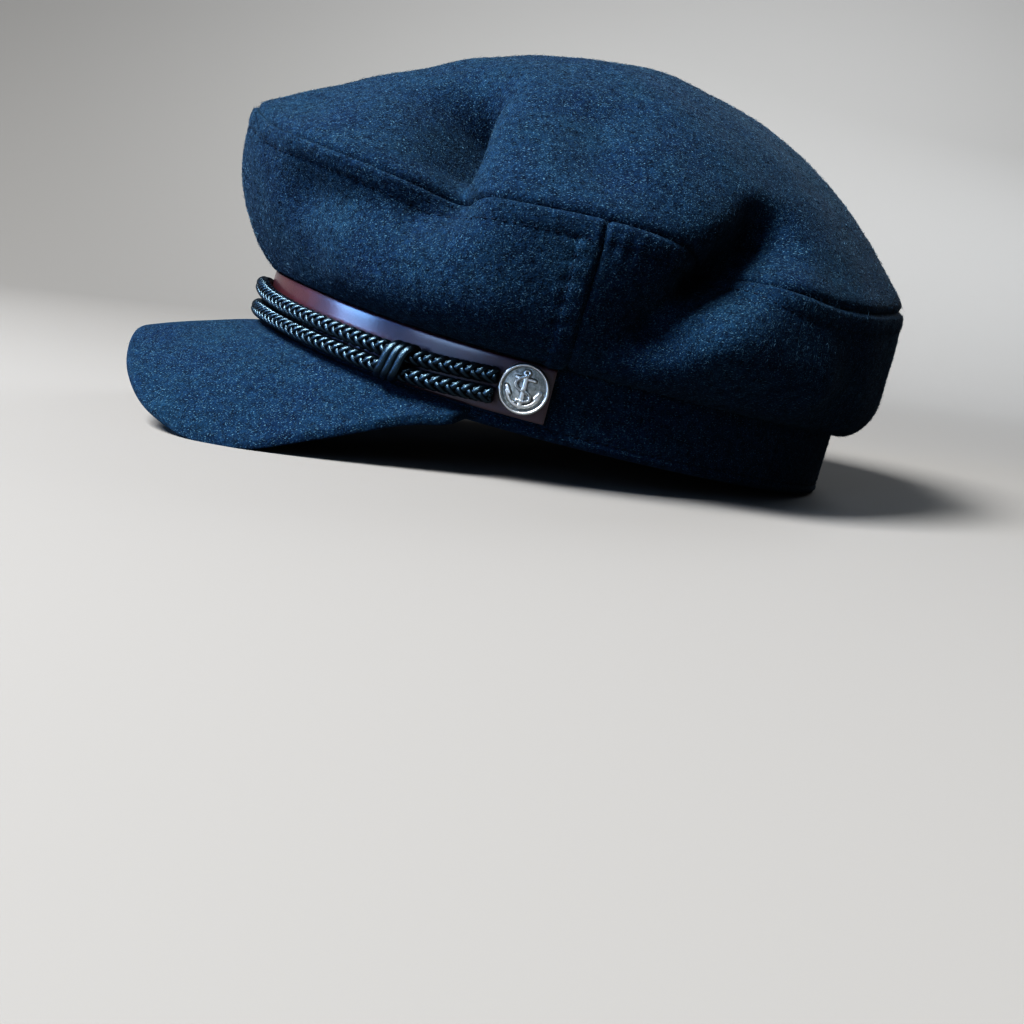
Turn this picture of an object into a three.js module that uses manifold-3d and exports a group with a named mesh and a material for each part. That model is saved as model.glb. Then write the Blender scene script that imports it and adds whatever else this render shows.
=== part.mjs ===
// Marine cap: a soft wool crown of three panels on a wool head band, with a wool covered peak,
// a leather strap round the front, a doubled braided cord with a knot each side and two anchor buttons.
// Millimetres, +Z up, front towards -Y, the wearer's left towards +X.
import * as THREE from 'three';
import { mergeVertices } from 'three/addons/utils/BufferGeometryUtils.js';
import Module from 'manifold-3d';

const wasm = await Module();
wasm.setup();

// Head band: half length and half width of its outer oval, height, wall and the lift of its front
const BAND_LONG = 102;
const BAND_WIDE = 83.5;
const BAND_HIGH = 23.5;
const BAND_WALL = 3;
const FRONT_LIFT = 6;
const FRONT_LIFT_POWER = 3;
const GAP = 0.3;

// Leather strap: how far round each side it runs, lower edge above the rim, height and thickness
const STRAP_END = 82.5;
const STRAP_LOW = 4.5;
const STRAP_HIGH = 16.8;
const STRAP_THICK = 1.3;

// Braided cords: thickness and where they end at the buttons. One row for each place on the way from
// the middle of the front to the button: half the distance between them, how far they hang below the
// middle of the strap, and how far they stand off it.
const CORD_THICK = 5.2;
const CORD_END = 73.5;
const CORD_STEPS = 36;
const CORD_SIDES = 8;
const CORD_ROUTE = [
  { angle: 0, apart: 3.9, drop: 1.2, lift: 0 },
  { angle: 20, apart: 2.95, drop: 2.1, lift: 0 },
  { angle: 40, apart: 2.8, drop: 2.4, lift: 0.3 },
  { angle: 60, apart: 2.8, drop: 2.2, lift: 1.5 },
  { angle: 80, apart: 2.9, drop: -0.2, lift: 0 },
];

// Knots round both cords: place and span in degrees, wall, and the swell of each of their turns
const KNOT_ANGLE = 57;
const KNOT_SPAN = 6.8;
const KNOT_WALL = 1;
const KNOT_TURNS = 3;
const KNOT_SWELL = 1.1;
const KNOT_SIDES = 10;
const KNOT_STEPS = 9;

// Buttons: place, height above the middle of the strap, radius, shank and the heights of the disc,
// its rim and its ground
const BUTTON_ANGLE = 78;
const BUTTON_RAISED = 0.5;
const BUTTON_RADIUS = 7.5;
const SHANK_RADIUS = 2.6;
const SHANK_HIGH = 0.8;
const RIM_TOP = 3.6;
const RIM_WIDE = 1.1;
const GROUND_TOP = 2.5;
const GROUND_DOME = 0.6;
const BUTTON_SIDES = 18;
const ANCHOR_TOP = 3.7;
const ROPE_MIDDLE = 3.5;

// Crown: wall, side seams, and the height of the top above the rim
const CROWN_WALL = 2;
const SIDE_SEAM = 83.5;
const CROWN_TOP = 123.5;
const CROWN_CORE = new THREE.Vector3(0, 0, 45);
const SEAM_GAP_PLACE = 0.0022;
const SEAM_GAP_ANGLE = 0.085;

// Crown sections, one row each 30 degrees from the front to the back, the same on both sides:
// the top seam's reach beyond the band and its height, the pull of the cloth as it leaves the band
// (out and up), its pull below the seam (out and down), and how fast the top panel falls away.
const SECTION_STEP = 30;
const SECTIONS = [
  { seamOut: 19, seamHigh: 78.5, lowOut: 11, lowUp: 6, highOut: 25, highDown: 21, fall: 1.3 },
  { seamOut: 20, seamHigh: 68.4, lowOut: 11, lowUp: 4, highOut: 24.5, highDown: 20, fall: 1.2 },
  { seamOut: 20, seamHigh: 62.6, lowOut: 12, lowUp: 2, highOut: 24, highDown: 19, fall: 1.0 },
  { seamOut: 20, seamHigh: 64, lowOut: 13, lowUp: 0.8, highOut: 24, highDown: 19, fall: 0.8 },
  { seamOut: 18.5, seamHigh: 59.2, lowOut: 13, lowUp: 0.6, highOut: 21, highDown: 19, fall: 0.75 },
  { seamOut: 12.5, seamHigh: 66.4, lowOut: 14, lowUp: 0.6, highOut: 18, highDown: 20, fall: 0.72 },
  { seamOut: 8.5, seamHigh: 70, lowOut: 15, lowUp: 0.6, highOut: 16, highDown: 21, fall: 0.66 },
];

// Folds of the crown: a dent runs between two places, an angle from the front and a place that is
// 0 at the band, 1 at the top seam and 2 at the middle of the top. Spread is its half width.
const FOLDS = [
  { angle: 50, place: 1.3, toAngle: 60, toPlace: 0.98, spread: 12.5, depth: 11 },
  { angle: 55, place: 0.93, toAngle: 47, toPlace: 0.82, spread: 12, depth: 5 },
  { angle: 111, place: 1.12, toAngle: 102, toPlace: 0.96, spread: 14.5, depth: 11 },
  { angle: 100, place: 0.9, toAngle: 94, toPlace: 0.62, spread: 15, depth: 6 },
  { angle: 108, place: 0.68, toAngle: 128, toPlace: 0.7, spread: 12, depth: -4 },
  { angle: -64, place: 1.3, toAngle: -70, toPlace: 0.96, spread: 14, depth: 7 },
  { angle: -118, place: 1.16, toAngle: -108, toPlace: 0.7, spread: 13, depth: 9 },
  { angle: 168, place: 1.1, toAngle: 158, toPlace: 0.72, spread: 14, depth: 4 },
];
const FOLD_STOPS = 9;
const FOLD_FREE_BELOW = 0.3;

// Peak: plan of its edge, a blunt oval, the angle it is swept through, where it meets the band, and
// its thickness. The blade steepens towards its edge by a power of the way out.
// One row each 20 degrees of the sweep, from the middle to the end: the height of the edge.
const PEAK_WIDE = 82;
const PEAK_BACK = -46;
const PEAK_LONG = 96.8;
const PEAK_BLUNT = 2.6;
const PEAK_SWEEP = 92;
const PEAK_MEETS = 70;
const PEAK_ROOT = 3.6;
const PEAK_THICK = 3.2;
const PEAK_STEEPEN = 1.3;
const PEAK_STEP = 20;
const PEAK_EDGE = [
  { high: -2.2 },
  { high: -11.3 },
  { high: -19.8 },
  { high: -22.5 },
  { high: -10.4 },
  { high: 11 },
];

// How far the soft rim and the peak's corners give where the cap stands on a table
const PRESS = 0.9;

// Grid sizes of the meshes
const BAND_AROUND = 60;
const PANEL_ACROSS = 34;
const PANEL_UP = 9;
const TOP_RINGS = 9;
const STRAP_ACROSS = 48;
const PEAK_ACROSS = 34;
const PEAK_ALONG = 8;

const wool = () => new THREE.MeshStandardMaterial({ color: 0x0d1d2c, roughness: 0.95, metalness: 0 });
const leather = () => new THREE.MeshStandardMaterial({ color: 0x3a1d1c, roughness: 0.35, metalness: 0 });
const cordage = () => new THREE.MeshStandardMaterial({ color: 0x0b0f15, roughness: 0.4, metalness: 0 });
const silver = () => new THREE.MeshStandardMaterial({ color: 0x9aa2a8, roughness: 0.35, metalness: 1 });

const radians = THREE.MathUtils.degToRad;

// Smooth value of a column of a table whose rows are evenly spaced and mirrored about the first
// row, and about the last one too if the table goes right round.
function tableValue(rows, column, step, angle, mirroredEnd) {
  const last = rows.length - 1;
  const turned = Math.abs(THREE.MathUtils.euclideanModulo(angle + 180, 360) - 180);
  const at = Math.min(turned / step, last - 1e-9);
  const i = Math.floor(at);
  const t = at - i;
  const row = (k) => {
    if (k < 0) return rows[-k][column];
    if (k <= last) return rows[k][column];
    return mirroredEnd ? rows[2 * last - k][column] : 2 * rows[last][column] - rows[2 * last - k][column];
  };
  const [a, b, c, d] = [row(i - 1), row(i), row(i + 1), row(i + 2)];
  return b + 0.5 * t * (c - a + t * (2 * a - 5 * b + 4 * c - d + t * (3 * (b - c) + d - a)));
}

// Point at an angle from the front on the band's oval widened by a distance out
function onOval(angle, out, high) {
  const turn = radians(angle);
  return new THREE.Vector3((BAND_WIDE + out) * Math.sin(turn), -(BAND_LONG + out) * Math.cos(turn), high);
}

const outward = (angle) => {
  const turn = radians(angle);
  return new THREE.Vector3(BAND_LONG * Math.sin(turn), -BAND_WIDE * Math.cos(turn), 0).normalize();
};

// The band, strap and cords rise a little at the front
const frontLift = (angle) => FRONT_LIFT * Math.max(Math.cos(radians(angle)), 0) ** FRONT_LIFT_POWER;

// The crown before it is folded: side wall up to the top seam, then the domed top panel
function plainCrown(angle, place) {
  const at = (column) => tableValue(SECTIONS, column, SECTION_STEP, angle, true);
  const seamOut = at('seamOut');
  const seamHigh = at('seamHigh');
  if (place <= 1) {
    const foot = BAND_HIGH + GAP + frontLift(angle);
    const start = -BAND_WALL + GAP;
    const rest = 1 - place;
    const [a, b, c, d] = [rest ** 3, 3 * place * rest ** 2, 3 * place ** 2 * rest, place ** 3];
    const out = a * start + b * at('lowOut') + c * at('highOut') + d * seamOut;
    const high = a * foot + b * (foot + at('lowUp')) + c * (seamHigh - at('highDown')) + d * seamHigh;
    return onOval(angle, out, high);
  }
  const share = 2 - place;
  const fall = at('fall');
  const drop = fall * share ** 2 + (1 - fall) * share ** 4;
  const rim = onOval(angle, seamOut, 0).multiplyScalar(share);
  return rim.setZ(CROWN_TOP + (seamHigh - CROWN_TOP) * drop);
}

const foldLines = FOLDS.map((fold) => Array.from({ length: FOLD_STOPS }, (_, k) => {
  const t = k / (FOLD_STOPS - 1);
  const angle = THREE.MathUtils.lerp(fold.angle, fold.toAngle, t);
  return plainCrown(angle, THREE.MathUtils.lerp(fold.place, fold.toPlace, t));
}));

// The crown's outer face: each fold presses it towards the core by a bell curve of the distance to it
function crown(angle, place) {
  const point = plainCrown(angle, place);
  let push = 0;
  FOLDS.forEach((fold, k) => {
    const near = Math.min(...foldLines[k].map((stop) => stop.distanceTo(point)));
    push += fold.depth * Math.exp(-((near / fold.spread) ** 2));
  });
  push *= THREE.MathUtils.smoothstep(place, 0, FOLD_FREE_BELOW);
  const inwards = new THREE.Vector3().subVectors(CROWN_CORE, point).normalize();
  return point.addScaledVector(inwards, push);
}

// Unit vector out of the crown; across the top seam it is the mean of the two panels' directions
function crownOut(angle, place) {
  const reach = 0.02;
  const along = new THREE.Vector3().subVectors(crown(angle + 1, place), crown(angle - 1, place));
  const low = crown(angle, Math.max(place - reach, 0));
  const up = new THREE.Vector3().subVectors(crown(angle, Math.min(place + reach, 2)), low);
  return along.cross(up).normalize();
}

function geometryOf(points, faces) {
  const geometry = new THREE.BufferGeometry();
  const numbers = points.flatMap((point) => point.toArray());
  geometry.setAttribute('position', new THREE.Float32BufferAttribute(numbers, 3));
  geometry.setIndex(faces.flat());
  geometry.computeVertexNormals();
  return geometry;
}

// Closed skin over rings of points: each ring is a loop, joined to the next one, and the rings either
// close on themselves or end in flat caps.
function skinOfRings(rings, ringsClose) {
  const size = rings[0].length;
  const faces = [];
  const last = ringsClose ? rings.length : rings.length - 1;
  for (let i = 0; i < last; i++) {
    const a = i * size;
    const b = ((i + 1) % rings.length) * size;
    for (let j = 0; j < size; j++) {
      const k = (j + 1) % size;
      faces.push([a + j, b + j, b + k], [a + j, b + k, a + k]);
    }
  }
  if (!ringsClose) {
    const end = (rings.length - 1) * size;
    for (let j = 1; j < size - 1; j++) {
      faces.push([0, j, j + 1], [end, end + j + 1, end + j]);
    }
  }
  return geometryOf(rings.flat(), faces);
}

// Evenly spaced values from one to another, both included
function steps(from, to, count) {
  return Array.from({ length: count + 1 }, (_, k) => from + ((to - from) * k) / count);
}

// A side panel of the crown: a wall between two side seams, from the band to the top seam
function sidePanel(from, to) {
  const places = steps(0, 1, PANEL_UP);
  const rings = steps(from, to, PANEL_ACROSS).map((angle) => {
    const outside = places.map((place) => crown(angle, Math.min(place, 1 - SEAM_GAP_PLACE)));
    const inside = places.map((place, k) => {
      return outside[k].clone().addScaledVector(crownOut(angle, place), -CROWN_WALL);
    });
    return [...outside, ...inside.reverse()];
  });
  return wallOfStrips(rings, places.length);
}

// Closed skin over strips whose first half is the outer face and whose second half is the inner one:
// like rings that end, but with end caps stitched from outer to inner face so that they follow the wall.
function wallOfStrips(rings, half) {
  const size = 2 * half;
  const geometry = skinOfRings(rings, false);
  const capFaces = 2 * (size - 2);
  const index = Array.from(geometry.index.array).slice(0, -3 * capFaces);
  const end = (rings.length - 1) * size;
  for (let j = 0; j < half - 1; j++) {
    const [o, p] = [j, j + 1];
    const [i, q] = [size - 1 - j, size - 2 - j];
    index.push(o, p, q, o, q, i);
    index.push(end + o, end + q, end + p, end + o, end + i, end + q);
  }
  geometry.setIndex(index);
  return geometry;
}

// The oval top panel: rings from the top seam to one middle point, outside and inside
function topPanel() {
  const places = steps(1, 2, TOP_RINGS).slice(0, -1);
  const front = steps(-SIDE_SEAM, SIDE_SEAM, PANEL_ACROSS).slice(0, -1);
  const angles = [...front, ...steps(SIDE_SEAM, 360 - SIDE_SEAM, PANEL_ACROSS).slice(0, -1)];
  const around = angles.length;
  const start = 1 + SEAM_GAP_PLACE / 2;
  const outside = places.map((place) => angles.map((angle) => crown(angle, Math.max(place, start))));
  const inside = outside.map((ring, k) => ring.map((point, j) => {
    return point.clone().addScaledVector(crownOut(angles[j], places[k]), -CROWN_WALL);
  }));
  const rings = [...inside.reverse(), ...outside];
  const faces = [];
  for (let i = 0; i < rings.length - 1; i++) {
    for (let j = 0; j < around; j++) {
      const k = (j + 1) % around;
      const [a, b] = [i * around, (i + 1) * around];
      faces.push([a + j, a + k, b + j], [a + k, b + k, b + j]);
    }
  }
  const middle = crown(0, 2);
  const points = rings.flat();
  points.push(middle.clone().setZ(middle.z - CROWN_WALL), middle);
  const [under, over] = [points.length - 2, points.length - 1];
  const top = (rings.length - 1) * around;
  for (let j = 0; j < around; j++) {
    const k = (j + 1) % around;
    faces.push([under, k, j], [over, top + j, top + k]);
  }
  return geometryOf(points, faces);
}

// The head band: a ring with a folded, rounded lower rim
function headBand() {
  const fold = BAND_WALL / 2;
  const section = [
    [-BAND_WALL, BAND_HIGH], [-BAND_WALL, 1], [-1.75 * fold, 0.3], [-1.4 * fold, 0],
    [-0.6 * fold, 0], [-0.25 * fold, 0.3], [0, 1], [0, BAND_HIGH],
  ];
  const rings = steps(0, 360, BAND_AROUND).slice(0, -1).map((angle) => {
    return section.map(([out, high]) => onOval(angle, out, high + frontLift(angle)));
  });
  return skinOfRings(rings, true);
}

// The leather strap: a thin strip laid on the band round the front
function leatherStrap() {
  const [near, far] = [GAP, GAP + STRAP_THICK];
  const high = STRAP_LOW + STRAP_HIGH;
  const section = [[near, high], [near, STRAP_LOW], [far, STRAP_LOW], [far, high]];
  const rings = steps(-STRAP_END, STRAP_END, STRAP_ACROSS).map((angle) => {
    return section.map(([out, up]) => onOval(angle, out, up + frontLift(angle)));
  });
  return skinOfRings(rings, false);
}

const STRAP_FACE = GAP + STRAP_THICK;
const STRAP_MIDDLE = STRAP_LOW + STRAP_HIGH / 2;
const CORD_ROUTE_STEP = 20;

// Middle of one cord at an angle; side is 1 for the upper cord and -1 for the lower one
function cordAt(angle, side) {
  const apart = tableValue(CORD_ROUTE, 'apart', CORD_ROUTE_STEP, angle, false);
  const drop = tableValue(CORD_ROUTE, 'drop', CORD_ROUTE_STEP, angle, false);
  const lift = tableValue(CORD_ROUTE, 'lift', CORD_ROUTE_STEP, angle, false);
  const out = STRAP_FACE + GAP + CORD_THICK / 2 + lift;
  return onOval(angle, out, STRAP_MIDDLE + frontLift(angle) - drop + side * apart);
}

function cord(side) {
  const rings = steps(-CORD_END, CORD_END, CORD_STEPS).map((angle) => {
    const middle = cordAt(angle, side);
    const out = outward(angle);
    return Array.from({ length: CORD_SIDES }, (_, k) => {
      const turn = (2 * Math.PI * k) / CORD_SIDES;
      const point = middle.clone().addScaledVector(out, (CORD_THICK / 2) * Math.cos(turn));
      return point.setZ(middle.z + (CORD_THICK / 2) * Math.sin(turn));
    });
  });
  return skinOfRings(rings, false);
}

// One loop of a knot round both cords: a long round outline at an angle, grown outside the hole
function knotLoop(angle, grow) {
  const middle = cordAt(angle, 1).lerp(cordAt(angle, -1), 0.5);
  const apart = cordAt(angle, 1).distanceTo(cordAt(angle, -1)) / 2;
  const radius = CORD_THICK / 2 + GAP + grow;
  const behind = -(CORD_THICK / 2 + GAP + Math.min(grow, KNOT_WALL));
  return Array.from({ length: KNOT_SIDES }, (_, k) => {
    const turn = (2 * Math.PI * (k + 0.5)) / KNOT_SIDES;
    const point = middle.clone().addScaledVector(outward(angle), Math.max(radius * Math.cos(turn), behind));
    return point.setZ(middle.z + radius * Math.sin(turn) + Math.sign(Math.sin(turn)) * apart);
  });
}

// A knot: a sleeve on both cords that swells once for each of its turns and is flat against the strap
function knot(side) {
  const places = steps(-0.5, 0.5, KNOT_STEPS);
  const angleAt = (t) => side * KNOT_ANGLE + t * KNOT_SPAN;
  const outer = places.map((t) => {
    const swell = KNOT_SWELL * Math.abs(Math.sin(Math.PI * KNOT_TURNS * (t + 0.5)));
    return knotLoop(angleAt(t), KNOT_WALL + swell * (1 - t * t));
  });
  const inner = places.map((t) => knotLoop(angleAt(t), 0));
  return skinOfRings([...outer, ...inner.reverse()], true);
}

// The peak: a curved blade with a round edge, from the band to its swept edge
function peak() {
  const half = PEAK_THICK / 2;
  const blunt = (x) => Math.sign(x) * Math.abs(x) ** (2 / PEAK_BLUNT);
  const topAt = (sweep, share) => {
    const turn = radians(sweep);
    const edgeHigh = tableValue(PEAK_EDGE, 'high', PEAK_STEP, sweep, false);
    const edgeY = PEAK_BACK - PEAK_LONG * blunt(Math.cos(turn));
    const edge = new THREE.Vector3(PEAK_WIDE * blunt(Math.sin(turn)), edgeY, edgeHigh);
    const meets = (sweep / PEAK_SWEEP) * PEAK_MEETS;
    const root = onOval(meets, GAP, PEAK_ROOT + frontLift(meets));
    const high = THREE.MathUtils.lerp(root.z, edge.z, share ** PEAK_STEEPEN);
    return root.lerp(edge, share).setZ(high);
  };
  const shares = steps(0, 1, PEAK_ALONG);
  const rings = steps(-PEAK_SWEEP, PEAK_SWEEP, PEAK_ACROSS).map((sweep) => {
    const upper = shares.map((share) => topAt(sweep, share));
    const lower = upper.map((point) => point.clone().setZ(point.z - PEAK_THICK));
    const [before, edge] = upper.slice(-2);
    const ahead = new THREE.Vector3().subVectors(edge, before).normalize();
    const nose = edge.clone().addScaledVector(ahead, half * 0.7);
    nose.z -= half;
    return [...upper, nose, ...lower.reverse()];
  });
  return skinOfRings(rings.reverse(), false);
}

function solidOf(geometry) {
  geometry.deleteAttribute('normal');
  geometry.deleteAttribute('uv');
  const merged = mergeVertices(geometry, 1e-4);
  return new wasm.Manifold(new wasm.Mesh({
    numProp: 3,
    vertProperties: new Float32Array(merged.attributes.position.array),
    triVerts: new Uint32Array(merged.index.array),
  }));
}

function geometryFrom(solid) {
  const mesh = solid.getMesh();
  const geometry = new THREE.BufferGeometry();
  geometry.setAttribute('position', new THREE.BufferAttribute(mesh.vertProperties, 3));
  geometry.setIndex(new THREE.BufferAttribute(mesh.triVerts, 1));
  geometry.computeVertexNormals();
  return geometry;
}

// A raised bar of the anchor, from one point of the button's face to another
function bar(x0, y0, x1, y1, wide) {
  const long = Math.hypot(x1 - x0, y1 - y0);
  const deep = ANCHOR_TOP - GROUND_TOP + 1;
  const box = new THREE.BoxGeometry(long, wide, deep);
  box.rotateZ(Math.atan2(y1 - y0, x1 - x0));
  return box.translate((x0 + x1) / 2, (y0 + y1) / 2, ANCHOR_TOP - deep / 2);
}

// The anchor's curved arms and pointed flukes as one flat outline
function anchorArms() {
  const [outer, inner, low, tip] = [4.3, 3.4, 0.9, radians(28)];
  const outline = new THREE.Shape();
  outline.absarc(0, low, outer, -Math.PI + tip, -tip, false);
  outline.lineTo(outer * Math.cos(tip) - 0.2, low - outer * Math.sin(tip) + 1.5);
  outline.lineTo(inner * Math.cos(tip) - 0.9, low - inner * Math.sin(tip) - 0.2);
  outline.absarc(0, low, inner, -tip - 0.25, -Math.PI + tip + 0.25, true);
  outline.lineTo(-inner * Math.cos(tip) + 0.9, low - inner * Math.sin(tip) - 0.2);
  outline.lineTo(-outer * Math.cos(tip) + 0.2, low - outer * Math.sin(tip) + 1.5);
  const deep = ANCHOR_TOP - GROUND_TOP + 1;
  const arms = new THREE.ExtrudeGeometry(outline, { depth: deep, bevelEnabled: false, curveSegments: 6 });
  return arms.translate(0, 0, ANCHOR_TOP - deep);
}

// A rope that winds across the shank
function anchorRope() {
  const stops = [[1.2, 4.0], [-1.7, 2.2], [1.8, 0.4], [-1.6, -1.4], [1.0, -2.4]];
  const route = new THREE.CatmullRomCurve3(stops.map(([x, y]) => new THREE.Vector3(x, y, ROPE_MIDDLE)));
  const section = new THREE.Shape();
  section.absarc(0, 0, 0.42, 0, 2 * Math.PI);
  return new THREE.ExtrudeGeometry(section, { extrudePath: route, steps: 12, curveSegments: 3 });
}

// A button lying on its back: shank, disc, raised rim and domed ground, with an anchor and its rope
function button() {
  const inner = BUTTON_RADIUS - RIM_WIDE;
  const profile = [
    [0, 0], [SHANK_RADIUS, 0], [SHANK_RADIUS, SHANK_HIGH], [BUTTON_RADIUS - 0.5, SHANK_HIGH],
    [BUTTON_RADIUS, SHANK_HIGH + 0.6], [BUTTON_RADIUS, RIM_TOP - 0.4], [BUTTON_RADIUS - 0.35, RIM_TOP],
    [inner + 0.3, RIM_TOP], [inner, RIM_TOP - 0.4], [inner - 0.1, GROUND_TOP],
    [inner * 0.5, GROUND_TOP + GROUND_DOME * 0.75], [0, GROUND_TOP + GROUND_DOME],
  ];
  const disc = new THREE.LatheGeometry(profile.map(([r, h]) => new THREE.Vector2(r, h)), BUTTON_SIDES);
  disc.rotateX(Math.PI / 2);
  const ring = new THREE.TorusGeometry(0.75, 0.32, 5, 10).translate(0, 5, ANCHOR_TOP - 0.4);
  const pieces = [bar(0, -3.2, 0, 4.6, 1), bar(-2.2, 3.1, 2.2, 3.1, 0.8), anchorArms(), ring, anchorRope()];
  const whole = pieces.reduce((solid, piece) => solid.add(solidOf(piece)), solidOf(disc));
  return geometryFrom(whole);
}

// The tilt at which the peak and the back of the rim touch a table together
function restTilt(geometries) {
  const lowest = (geometry, tilt) => {
    const spot = new THREE.Vector3();
    const axis = new THREE.Vector3(1, 0, 0);
    let low = Infinity;
    const place = geometry.attributes.position;
    for (let k = 0; k < place.count; k++) {
      low = Math.min(low, spot.fromBufferAttribute(place, k).applyAxisAngle(axis, -tilt).z);
    }
    return low;
  };
  let [less, more] = [0, radians(20)];
  for (let k = 0; k < 40; k++) {
    const tilt = (less + more) / 2;
    if (lowest(geometries.peak, tilt) < lowest(geometries.head_band, tilt)) less = tilt;
    else more = tilt;
  }
  return { tilt: less, floor: lowest(geometries.head_band, less) + PRESS };
}

// Cloth below the table's level is pressed up onto it
function pressFlat(geometry, tilt, floor) {
  const up = new THREE.Vector3(0, 0, 1).applyAxisAngle(new THREE.Vector3(1, 0, 0), tilt);
  const place = geometry.attributes.position;
  const spot = new THREE.Vector3();
  for (let k = 0; k < place.count; k++) {
    spot.fromBufferAttribute(place, k);
    spot.addScaledVector(up, Math.max(floor - spot.dot(up), 0));
    place.setXYZ(k, spot.x, spot.y, spot.z);
  }
}

const shapes = {
  crown_top: topPanel(),
  crown_front: sidePanel(-SIDE_SEAM + SEAM_GAP_ANGLE, SIDE_SEAM - SEAM_GAP_ANGLE),
  crown_back: sidePanel(SIDE_SEAM + SEAM_GAP_ANGLE, 360 - SIDE_SEAM - SEAM_GAP_ANGLE),
  head_band: headBand(),
  peak: peak(),
  leather_strap: leatherStrap(),
  cord_upper: cord(1),
  cord_lower: cord(-1),
  knot_left: knot(1),
  knot_right: knot(-1),
};
const finish = { crown: wool, head: wool, peak: wool, leather: leather, cord: cordage, knot: cordage };

const { tilt, floor } = restTilt(shapes);
pressFlat(shapes.head_band, tilt, floor);
pressFlat(shapes.peak, tilt, floor);

const cap = new THREE.Group();
for (const [name, geometry] of Object.entries(shapes)) {
  const mesh = new THREE.Mesh(geometry, finish[name.split('_')[0]]());
  mesh.name = name;
  cap.add(mesh);
}

// A button on each end of the strap, facing straight out
for (const [name, angle] of [['button_left', BUTTON_ANGLE], ['button_right', -BUTTON_ANGLE]]) {
  const mesh = new THREE.Mesh(button(), silver());
  const out = outward(angle);
  const up = new THREE.Vector3(0, 0, 1);
  mesh.quaternion.setFromRotationMatrix(new THREE.Matrix4().makeBasis(up.clone().cross(out), up, out));
  const high = STRAP_MIDDLE + BUTTON_RAISED + frontLift(angle);
  mesh.position.copy(onOval(angle, STRAP_FACE, high)).addScaledVector(out, GAP);
  mesh.name = name;
  cap.add(mesh);
}

// The cap stands on its peak and the back of its rim, with the middle of its box over the origin
cap.rotation.x = -tilt;
cap.updateMatrixWorld(true);
const box = new THREE.Box3().setFromObject(cap, true);
const middle = box.getCenter(new THREE.Vector3());
cap.position.set(-middle.x, -middle.y, -box.min.z);

const part = new THREE.Group();
part.add(cap);
part.updateMatrixWorld(true);

export default part;
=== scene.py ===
# %% [markdown]
# # A marine cap
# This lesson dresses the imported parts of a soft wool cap: a crown of three panels on a head band, a
# curved peak, a leather strap, a doubled braided cord and two anchor buttons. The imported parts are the
# fixed frame. Each new piece is a surface worked out with numpy in the cap's own millimetres, with the
# rim as its ground, the front towards -Y and the wearer's left towards +X, and is then stood in the frame.

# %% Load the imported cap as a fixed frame
import math
from types import SimpleNamespace

import bpy
import numpy as np
from mathutils import Matrix


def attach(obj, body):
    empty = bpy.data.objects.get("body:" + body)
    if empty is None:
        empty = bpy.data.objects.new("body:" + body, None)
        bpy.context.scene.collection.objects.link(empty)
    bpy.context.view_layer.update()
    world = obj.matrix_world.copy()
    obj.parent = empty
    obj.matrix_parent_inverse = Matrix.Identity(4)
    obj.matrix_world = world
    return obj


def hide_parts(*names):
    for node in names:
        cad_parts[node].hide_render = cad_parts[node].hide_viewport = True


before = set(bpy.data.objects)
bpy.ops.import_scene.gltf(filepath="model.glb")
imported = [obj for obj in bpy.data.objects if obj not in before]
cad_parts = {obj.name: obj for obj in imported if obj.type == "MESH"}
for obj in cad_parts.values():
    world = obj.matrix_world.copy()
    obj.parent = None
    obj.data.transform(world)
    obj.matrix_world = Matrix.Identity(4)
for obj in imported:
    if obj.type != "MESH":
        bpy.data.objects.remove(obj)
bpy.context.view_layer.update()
MM = 0.001
print("nodes:", sorted(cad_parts))

# %% [markdown]
# ## How the cap stands
# By itself the cap stands on the corners of its peak and the back of its rim, so it leans a little.
# The lean could be typed in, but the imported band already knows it: the top edge of the band is level on
# the worn cap, so the slope from the side of that edge to its back is the lean, and the same corner
# gives the place.

# %% Lean and place of the cap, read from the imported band
BAND_HIGH = 23.5
OUTERMOST_WITHIN = 0.01


def node_corners(node):
    """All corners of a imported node, in millimetres."""
    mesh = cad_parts[node].data
    flat = np.empty(3 * len(mesh.vertices))
    mesh.vertices.foreach_get("co", flat)
    return flat.reshape(-1, 3) / MM


band = node_corners("head_band")
back_edge = band[band[:, 1].argmax()]
outermost = band[band[:, 0] > band[:, 0].max() - OUTERMOST_WITHIN]
side_edge = outermost[outermost[:, 2].argmax()]
lean = math.atan2(side_edge[2] - back_edge[2], back_edge[1] - side_edge[1])
lean_cos, lean_sin = math.cos(lean), math.sin(lean)
place = np.array([
    (band[:, 0].min() + band[:, 0].max()) / 2,
    side_edge[1] - BAND_HIGH * lean_sin,
    side_edge[2] - BAND_HIGH * lean_cos,
])


def lean_over(vectors):
    """Turn vectors of the worn cap about X by the lean."""
    x, y, z = np.moveaxis(np.asarray(vectors, float), -1, 0)
    return np.stack([x, lean_cos * y + lean_sin * z, lean_cos * z - lean_sin * y], -1)


def stand(points):
    """Cap millimetres to scene metres: lean over, shift to the band's place, and scale. The soft rim and
    the peak's corners give where they would sink into the table."""
    points = (lean_over(points) + place) * MM
    points[..., 2] = np.maximum(points[..., 2], 0)
    return points


print("lean in degrees:", round(math.degrees(lean), 3), "place in mm:", place.round(2))

# %% [markdown]
# ## The camera
# The camera comes first, because every later choice is judged through it. A photograph fixes the view
# by three turns, a place and a focal length. They are given here about the worn cap, as a photographer
# would find them, and lean with it.

# %% Camera at the photograph's angle
IMAGE_SIDE = 1024
FOCAL_PIXELS = 1150
SENSOR_MM = 36
NEAREST_SEEN = 0.01
EYE = (413.9, -70.2, 32.3)
EYE_AZIMUTH, EYE_ELEVATION, EYE_ROLL = np.radians([80.644, 9.297, 14.849])


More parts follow.
